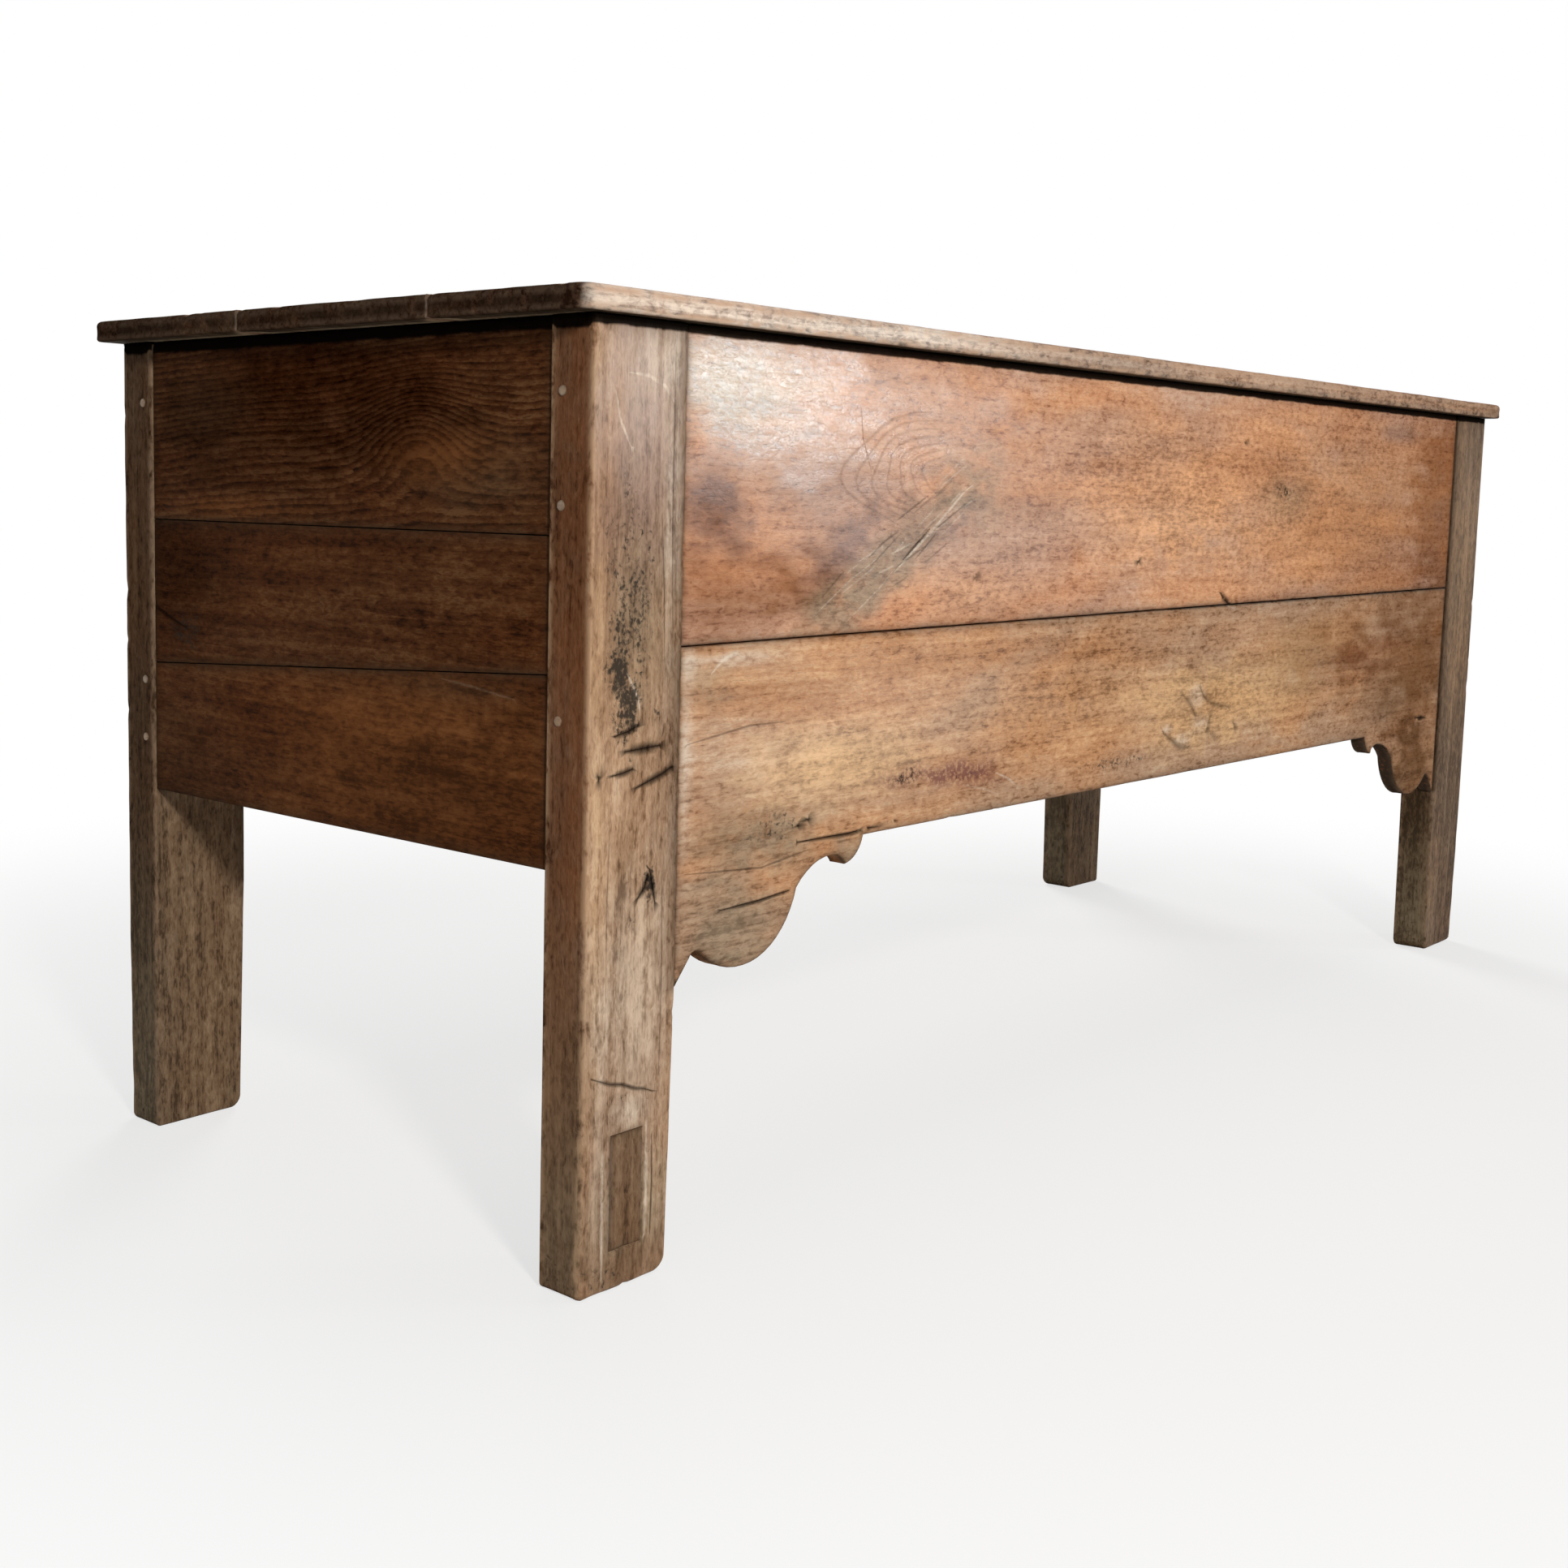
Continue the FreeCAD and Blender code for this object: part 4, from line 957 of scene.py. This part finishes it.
def make_front_boards():
    upper = Board("front_board_upper", X_AXIS, -Y_AXIS, 21)
    marks = marks_from({
        SHINE: [
            ((-750, 730), (170, 70), 1.0), ((-560, 730), (220, 60), 0.5), ((-500, 640), (330, 100), 0.36),
        ],
        GREY: [
            ((-770, 735), (120, 50), 1.0), ((-540, 592), (170, 34), 0.9, 28, 0.9),
            ((-400, 640), (50, 30), 0.6), ((-600, 556), (80, 24), 0.8, 20), ((285, 654), (66, 30), 0.8),
        ],
        PLUM: [
            ((-785, 640), (46, 44), 1.0), ((-620, 650), (140, 70), 0.6), ((-610, 598), (70, 18), 0.8, 28),
            ((-430, 620), (60, 18), 0.6, 28), ((620, 745), (70, 14), 0.7),
        ],
        # The spots about (800, 650), (560, 620) and (840, 640) darken the right end: painted shade where
        # less light falls
        BROWN: [
            ((-785, 640), (40, 36), 0.6), ((-545, 592), (170, 40), 0.4, 28, 0.9),
            ((-460, 655), (110, 50), 0.2), ((-770, 560), (90, 50), 0.85), ((-640, 590), (60, 24), 0.2, 28),
            ((-300, 645), (90, 22), 0.3), ((250, 690), (130, 30), 0.25), ((800, 650), (120, 150), 1.0),
            ((560, 620), (300, 120), 0.6), ((840, 640), (90, 190), 0.6), ((-660, 570), (60, 40), 0.5),
        ],
        STAIN: [((276, 664), (44, 12), 0.5, -15)],
        GOLD: [
            ((-410, 556), (120, 26), 0.65), ((-60, 660), (190, 70), 1.0), ((400, 640), (380, 110), 0.8),
        ],
        PALE: [((-60, 655), (130, 40), 0.1)],
    })
    grooves = [
        Groove([(-531, 578), (-475, 615), (-423, 652), (-409, 659)], 2.0, 0.5, 0, 1),
        Groove([(-519, 589), (-497, 604), (-475, 619)], 2.0, 0.7, 0.9),
        Groove([(-650, 541), (-600, 571), (-560, 590)], 1.2, 0.2, 0, 0.5),
        Groove([(-600, 536), (-555, 563), (-530, 582)], 1.2, 0.2, 0, 0.5),
        Groove([(-590, 724), (-586, 698), (-571, 666)], 0.8, 0.3, 0.5),
        Groove([(162, 719), (168, 719)], 4, 1, 0.8),
        Groove([(-78, 582), (-73, 583)], 5, 1.2),
        Groove([(-398, 570), (-392, 571)], 5, 1, 0.7),
        Groove([(122, 543), (130, 537), (146, 530)], 5.5, 2.5),
    ]
    grooves += figure((-432, 668), (60, 20), (178, 58), 7, (105, 238), 2.2, 0.24)
    grooves += scratches((-630, 542), (-415, 655), 30, 60, 30, 5)
    knots = [((-578, 633), (46, 30), 12), ((-475, 668), (52, 34), 17), ((300, 610), (140, 45), 12)]

    def arris(rim, normals):
        return 1.3 + 3.5 * np.clip(normals[:, 1], 0, 1) + 1.7 * np.clip(-normals[:, 1], 0, 1)

    upper.carve(upper.face_rim(), arris, spacing=6, chips=2, grooves=grooves)
    # Its top is painted black as shadow under the lid's overhang
    upper.paint(marks, creep=4, lid_shadow_axis=1, knots=knots, pith=(0.06, -0.11), tilt=0.02)
    upper.set_up("carcass", "front_wood", UPPER_FRONT)

    lower = Board("front_board_lower", X_AXIS, -Y_AXIS, 22)
    marks = marks_from({
        PALE: [
            ((-770, 509), (60, 5), 0.7), ((-814, 430), (8, 90), 0.85), ((73, 427), (20, 13), 0.7),
            ((86, 391), (24, 11), 0.65), ((42, 377), (20, 9), 0.7), ((6, 391), (14, 6), 0.8),
        ],
        SHINE: [((-560, 450), (300, 70), 0.35)],
        GREY: [
            ((-790, 490), (40, 26), 0.7), ((-712, 352), (100, 34), 1.0), ((690, 400), (170, 60), 0.5),
            ((-754, 275), (74, 48), 1.0), ((-588, 324), (34, 20), 0.8), ((740, 290), (100, 50), 0.8),
        ],
        GOLD: [
            ((-600, 410), (140, 38), 1.0), ((-150, 440), (260, 40), 0.45), ((65, 408), (130, 48), 1.0),
            ((230, 420), (200, 50), 0.8), ((400, 470), (150, 40), 0.6),
        ],
        RED: [
            ((-600, 470), (150, 22), 0.2), ((-394, 378), (62, 15), 1.0, -4, 0.7),
            ((-470, 384), (70, 10), 0.7, 0, 0.8), ((80, 404), (80, 34), 0.12, 0, 0.8),
            ((520, 450), (160, 34), 0.3),
        ],
        BROWN: [
            ((-700, 480), (120, 30), 0.4), ((-780, 400), (40, 60), 0.2), ((-300, 490), (300, 16), 0.25),
            ((-730, 350), (90, 26), 0.3), ((730, 440), (230, 130), 1.0), ((400, 460), (160, 60), 0.6),
            ((-754, 275), (74, 44), 0.15), ((740, 280), (110, 60), 0.9),
        ],
        STAIN: [
            ((-700, 358), (50, 20), 0.4), ((-494, 384), (28, 9), 0.6), ((-405, 376), (60, 9), 0.25),
            ((-100, 363), (80, 8), 0.5), ((760, 351), (20, 5), 0.7), ((-818, 242), (7, 7), 1.0),
        ],
    })
    grooves = [
        Groove([(-662, 342), (-586, 341), (-515, 345)], 2.8, 5),
        Groove([(-764, 296), (-715, 297), (-664, 301)], 2.2, 4),
        Groove([(-812, 333), (-713, 326), (-645, 334)], 1.3, 0.6, 0.6),
        Groove([(-813, 441), (-733, 451), (-686, 451)], 1.4, 0.4, 0.55),
        Groove([(-664, 357), (-660, 357)], 5, 1),
        Groove([(-650, 361), (-646, 361)], 5, 1),
        Groove([(84, 433), (92, 424), (104, 417), (122, 412), (158, 407)], 5, 0.9, 0.6),
        Groove([(42, 428), (60, 417), (72, 405)], 4.5, 0.8, 0.5),
        Groove([(110, 396), (106, 384)], 6, 0.9, 0.5),
        Groove([(-2, 388), (17, 379), (40, 368), (60, 366)], 5, 0.9, 0.6),
        Groove([(174, 385), (178, 380)], 6, 0.9, 0.6),
        Groove([(114, 378), (124, 374)], 5, 0.8, 0.5),
        Groove([(140, 528), (152, 525), (168, 524)], 2.2, 0.5, 0, 0.9),
        Groove([(-784, 498), (-770, 509), (-746, 515)], 2.0, 0.3, 0, 0.9),
        Groove([(745, 352), (760, 350), (776, 350)], 4.5, 1.5),
        Groove([(-345, 374), (-322, 366), (-305, 356)], 1.6, 0.3, 0, 0.8),
        Groove([(-395, 366), (-370, 361), (-340, 352)], 1.4, 0.3, 0, 0.6),
    ]

    def seam(rim, normals):
        beside_leg = abs(normals[:, 0]) * (abs(rim[:, 0]) > BESIDE_LEG * MM)
        # Free edges, the bottom and the scrolls, get a dark dirt line too: painted shade of the lower arris
        return np.maximum(beside_leg, np.where(normals[:, 1] > 0.5, 0.7, 0.95))

    # Edges darkened brown as painted shade of the lower arris, and the far scroll's edges near black as
    # painted shade where they are unlit
    def wall_marks(rim, normals):
        far = (rim[:, 0] > 0) * 1.0
        return {BROWN: 0.35 + 0.55 * far, STAIN: far}

    knots = [((75, 408), (60, 30), 20), ((520, 455), (150, 45), 26), ((-740, 448), (60, 20), 8)]
    lower.carve(lower.face_rim(), even(2.6), spacing=6, chips=5, grooves=grooves)
    lower.paint(marks, seam, creep=4, wall_marks=wall_marks, wrap=2, pith=(-0.05, -0.13), tilt=-0.015,
                knots=knots)
    lower.set_up("carcass", "front_wood", LOWER_FRONT)


# End boards

END_ARRIS = 0.5
END_TOP_ARRIS = 4
UPPER_KNOTS = [((115, 690), (66, 46), -42), ((-120, 690), (150, 40), -10)]


def make_end_boards():
    upper_marks = marks_from({
        GOLD: [((146, 673), (80, 22), 0.9), ((-150, 625), (110, 12), 0.7)],
        GREY: [((190, 660), (90, 40), 0.55), ((-190, 715), (80, 50), 0.4)],
        BROWN: [((-130, 710), (230, 90), 0.85), ((80, 740), (160, 50), 0.6), ((80, 690), (130, 34), 0.7)],
    })
    middle_marks = [Spot(BROWN, (-260, 550), (110, 90), 0.7), Spot(STAIN, (-222, 506), (40, 26), 0.55)]
    lower_marks = marks_from({
        GOLD: [((130, 410), (240, 90), 1.0)],
        GREY: [((-235, 400), (90, 60), 0.25), ((160, 480), (90, 10), 0.5)],
        BROWN: [((-235, 410), (90, 70), 0.3)],
    })
    middle_crack = Groove([(-285, 530), (-250, 516), (-225, 508)], 3, 1.2, 0.8)
    lower_scratch = Groove([(150, 488), (190, 484), (240, 478)], 1.6, 0.3, 0, 0.5)
    marks_of = {"lower": lower_marks, "middle": middle_marks, "upper": upper_marks}
    grooves_of = {"lower": [lower_scratch], "middle": [middle_crack], "upper": []}
    for number, (side, axes) in enumerate(END_AXES.items()):
        for index, level in enumerate(LEVELS):
            board = Board(f"end_board_{side}_{level}", *axes, 31 + 4 * number + index)
            look = {"pith": (0.03 * (index - 1), -0.08)}
            wood = END
            top_arris = END_ARRIS
            if level == "upper":
                # The upper board's top is painted black as shadow under the lid, reaching further down than
                # on the front
                look = {"pith": (-0.25, -0.05), "knots": UPPER_KNOTS, "lid_shadow_axis": 1}
                wood = FIGURED_END
                top_arris = END_TOP_ARRIS

            def arris(rim, normals):
                return END_ARRIS + (top_arris - END_ARRIS) * np.clip(normals[:, 1], 0, 1)

            board.carve(board.face_rim(), arris, inset=0.1, chips=2, grooves=grooves_of[level])
            board.paint(marks_of[level], creep=4, lid_shadow_reach=1.4 * LID_SHADOW_REACH, tilt=0.05 * (1 - index),
                        back_grey=1.0, **look)
            board.set_up("carcass", "end_wood", wood)


# Pegs through the legs into the end boards

PEG_RADIUS = 4.5
PEG_SIDES = 14
PEG_HEIGHTS = {"front": (722, 634, 466), "rear": (722, 453, 396)}


def make_pegs():
    turns = np.linspace(0, 2 * math.pi, PEG_SIDES, endpoint=False)
    spokes = np.column_stack([np.cos(turns), np.sin(turns)])
    for number, (side, axes) in enumerate(END_AXES.items()):
        node = f"end_pegs_{side}"
        seed = 71 + number
        reach = Board(node, *axes, seed).high[0] - PEG_RADIUS * MM
        rng = np.random.default_rng(seed)
        meshes = []
        for row, heights in PEG_HEIGHTS.items():
            way = 1 if (row == "rear") == (side == "right") else -1
            for height in heights:
                radii = PEG_RADIUS * MM * rng.uniform(0.9, 1.0, PEG_SIDES)
                outline = np.array([reach * way, height * MM]) + radii[:, None] * spokes
                peg = Board(node, *axes, seed + len(meshes))
                peg.carve(outline, even(1.3), 1.0, spacing=2, inset=0, relief=0.2, chips=0)
                peg.paint(creep=0.9, end_brown=0.5)
                meshes.append(peg.mesh())
        set_up(f"{node}_wood", joined(node, meshes), node, "carcass", PEG)


def joined(name, meshes):
    """One mesh from several that keep the same values."""
    objects = [bpy.data.objects.new(name, mesh) for mesh in meshes]
    for item in objects:
        bpy.context.scene.collection.objects.link(item)
    with bpy.context.temp_override(active_object=objects[0], selected_editable_objects=objects):
        bpy.ops.object.join()
    mesh = objects[0].data
    bpy.data.objects.remove(objects[0])
    return mesh


# Back boards, ledgers and floor

def make_inner_boards():
    for index, level in enumerate(LEVELS):
        board = Board(f"back_board_{level}", -X_AXIS, Y_AXIS, 41 + index)
        board.carve(board.face_rim(), even(1.4), spacing=9)
        # The upper board's top is painted black as shadow under the lid
        board.paint(lid_shadow_axis=1 if level == "upper" else None, pith=(0.04 - 0.05 * index, -0.1), back_grey=0.2)
        board.set_up("carcass", "inner_wood", INNER)
    for index, row in enumerate(("front", "rear")):
        board = Board(f"ledger_{row}", X_AXIS, Z_AXIS, 45 + index)
        board.carve(board.rectangle(), even(1.5), spacing=9).paint(back_grey=0.2)
        board.set_up("carcass", "inner_wood", INNER)
    for number in range(1, 8):
        board = Board(f"floor_board_{number}", Y_AXIS, Z_AXIS, 50 + number)
        board.carve(board.face_rim(), even(1.5), spacing=9)
        board.paint(pith=(0.03 * (number - 4), -0.08), back_grey=0.2)
        board.set_up("carcass", "inner_wood", INNER)


# Lid boards and battens

LID_CORNER = 14
LID_RIM = 4.5
JOINT_RIM = 1.2
JOINT_NICK = 3

# Along the lid's front edge, in metres: the middle and reach of the part painted pale as a highlight,
# where its shine is raised as well, and the strength, middle and reach of each dark part
PAINTED_HIGHLIGHT = (-0.66, 0.26)
DARK_PLACES = ((0.45, -0.17, 0.11), (0.25, 0.3, 0.06), (0.5, 0.96, 0.1))


def near(values, middle, reach):
    """One at the middle, falling softly away on both sides."""
    return np.exp(-((values - middle) / reach) ** 2)


def make_lid():
    corner = LID_CORNER * MM
    nick = JOINT_NICK * MM
    corners_of = {
        "front": [corner, corner, nick, nick], "middle": [nick] * 4, "rear": [nick, nick, corner, corner],
    }
    ways = {"front": -1, "middle": 0, "rear": 1}
    for index, name in enumerate(("front", "middle", "rear")):
        board = Board(f"lid_board_{name}", X_AXIS, Z_AXIS, 61 + index)
        outline = softened(board.rectangle(), corners_of[name])

        def joint(rim, normals):
            outer = normals[:, 1] * ways[name] > 0.3
            return np.where(outer, 0, np.clip(abs(normals[:, 1]) * 1.4 - 0.4, 0, 1))

        def arris(rim, normals):
            return LID_RIM + (JOINT_RIM - LID_RIM) * joint(rim, normals)

        def wall_marks(rim, normals):
            lengthwise = np.clip(abs(normals[:, 1]) * 2 - 1, 0, 1)
            endwise = np.clip(abs(normals[:, 0]) * 2.5, 0, 1)
            outer = lengthwise * (1 - joint(rim, normals))
            along = rim[:, 0]
            highlight = near(along, *PAINTED_HIGHLIGHT)
            dark = sum(strength * near(along, middle, reach) for strength, middle, reach in DARK_PLACES)
            # The outer edge is painted pale round the highlight, and paler towards the left
            return {
                PALE: outer * np.clip(0.3 + 0.75 * highlight - 0.25 * along, 0, 1),
                GOLD: outer * np.clip(0.35 + 0.6 * along, 0, 1),
                SHINE: outer * highlight * 0.6,
                BROWN: np.maximum(endwise, outer * dark),
            }

        board.carve(outline, arris, back_arris=2.5, inset=1.2, relief=0.7, chips=6)
        # The underside's brown strip along its free edges, near black here, is painted shade under the
        # overhang
        board.paint(seam=joint, creep=5, wall_marks=wall_marks, wrap=6, pith=(0.05 * (1 - index), -0.1),
                    tilt=0.02, back_grey=0.8, back_brown=0.9, back_shade_rim=28)
        board.set_up("lid", "lid_wood", LID)
    for index, name in enumerate(("left", "middle", "right")):
        board = Board(f"lid_batten_{name}", Y_AXIS, -Z_AXIS, 65 + index)
        board.carve(board.rectangle(), even(4), chips=4).paint(back_grey=0.2)
        board.set_up("lid", "inner_wood", INNER)


# Iron keeps its solids

def dress_iron():
    for name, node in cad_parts.items():
        if name.startswith("hinge") or name.endswith("nails"):
            node.data.materials.clear()
            node.data.materials.append(IRON)


# Camera

# Its place in metres, its angles in degrees, and the photograph's size and centre of view in pixels
CAMERA_PLACE = (-1.9746, -1.3548, 0.6437)
CAMERA_HEADING = 47.7159
CAMERA_PITCH = -6.5203
CAMERA_ROLL = 1.1918
PHOTO_WIDTH = 1932
FOCAL_PIXELS = 2361.6
VIEW_CENTRE = (820.8, 880.0)
SENSOR_WIDTH = 36


def make_camera():
    data = bpy.data.cameras.new("camera")
    data.sensor_width = SENSOR_WIDTH
    data.lens = FOCAL_PIXELS / PHOTO_WIDTH * SENSOR_WIDTH
    data.shift_x = 0.5 - VIEW_CENTRE[0] / PHOTO_WIDTH
    data.shift_y = VIEW_CENTRE[1] / PHOTO_WIDTH - 0.5
    heading = math.radians(CAMERA_HEADING)
    pitch = math.radians(CAMERA_PITCH)
    level = math.cos(pitch)
    forward = Vector((math.sin(heading) * level, math.cos(heading) * level, math.sin(pitch)))
    level_right = forward.cross(Vector(Z_AXIS)).normalized()
    level_up = level_right.cross(forward)
    turn = math.radians(CAMERA_ROLL)
    right = level_right * math.cos(turn) + level_up * math.sin(turn)
    up = level_up * math.cos(turn) - level_right * math.sin(turn)
    camera = bpy.data.objects.new("camera", data)
    turned = Matrix((right, up, -forward)).transposed().to_4x4()
    camera.matrix_world = Matrix.Translation(CAMERA_PLACE) @ turned
    bpy.context.scene.collection.objects.link(camera)
    bpy.context.scene.camera = camera


# Light, floor and background

def area_light(name, place, target, size, power, colour=(1, 1, 1)):
    data = bpy.data.lights.new(name, "AREA")
    data.shape = "DISK"
    data.size = size
    data.energy = power
    data.color = colour
    light = bpy.data.objects.new(name, data)
    light.location = place
    light.rotation_euler = (Vector(target) - Vector(place)).to_track_quat("-Z", "Y").to_euler()
    bpy.context.scene.collection.objects.link(light)


def make_lights():
    area_light("key", (-2.1, -2.7, 1.75), (-0.2, -0.3, 0.45), 0.35, 64, (1.0, 0.97, 0.93))
    area_light("sheen", (3.9, -4.45, 1.15), (-0.6, -0.3, 0.7), 1.2, 72)
    area_light("top", (0.1, -0.1, 3.2), (0.0, 0.0, 0.8), 2.0, 20)
    area_light("behind", (2.4, 2.8, 1.8), (0.2, 0.2, 0.5), 1.6, 90)


def seen_directly(nodes):
    """1 for rays that show the background to the camera, by themselves, by gloss or through glass."""
    path = nodes.add("LightPath", {}).outputs
    seen = nodes.math("MAXIMUM", path["Is Camera Ray"], path["Is Glossy Ray"])
    return nodes.math("MAXIMUM", seen, path["Is Transmission Ray"])


# The world's strength where it only lights the object
AMBIENT = 0.13


def make_world():
    world = bpy.data.worlds.new("studio")
    bpy.context.scene.world = world
    n = Nodes(world)
    strength = n.math("MULTIPLY_ADD", seen_directly(n), 1 - AMBIENT, AMBIENT)
    background = n.add("Background", {"Color": WHITE, "Strength": strength})
    n.add("OutputWorld", {"Surface": background.outputs[0]})


# The floor's half size in metres, its colour, the distances between which it fades into the
# background, and how white it is seen near the object
FLOOR_REACH = 9
FLOOR_COLOUR = (0.85, 0.85, 0.84, 1)
SHADOW_REACH = (0.9, 2.0)
NEAR_WHITE = 0.7


def make_floor():
    mesh = bpy.data.meshes.new("floor")
    corners = [(x * FLOOR_REACH, y * FLOOR_REACH, 0) for x, y in ((-1, -1), (1, -1), (1, 1), (-1, 1))]
    mesh.from_pydata(corners, [], [(0, 1, 2, 3)])
    floor = bpy.data.objects.new("floor", mesh)
    bpy.context.scene.collection.objects.link(floor)
    material = bpy.data.materials.new("floor")
    n = Nodes(material)
    place = n.add("TexCoord", {}).outputs["Object"]
    distance = n.add("VectorMath", {0: place}, operation="LENGTH").outputs["Value"]
    far = n.range(distance, *SHADOW_REACH, NEAR_WHITE, 1.0)
    matt = n.add("BsdfDiffuse", {"Color": FLOOR_COLOUR})
    white = n.add("Emission", {"Color": WHITE, "Strength": 1.0})
    share = n.times(seen_directly(n), far)
    surface = n.add("MixShader", {0: share, 1: matt.outputs[0], 2: white.outputs[0]})
    n.add("OutputMaterial", {"Surface": surface.outputs[0]})
    mesh.materials.append(material)


make_camera()
make_legs()
make_front_boards()
make_end_boards()
make_pegs()
make_inner_boards()
make_lid()
dress_iron()
make_world()
make_floor()
make_lights()
bpy.context.scene.view_settings.view_transform = "Standard"
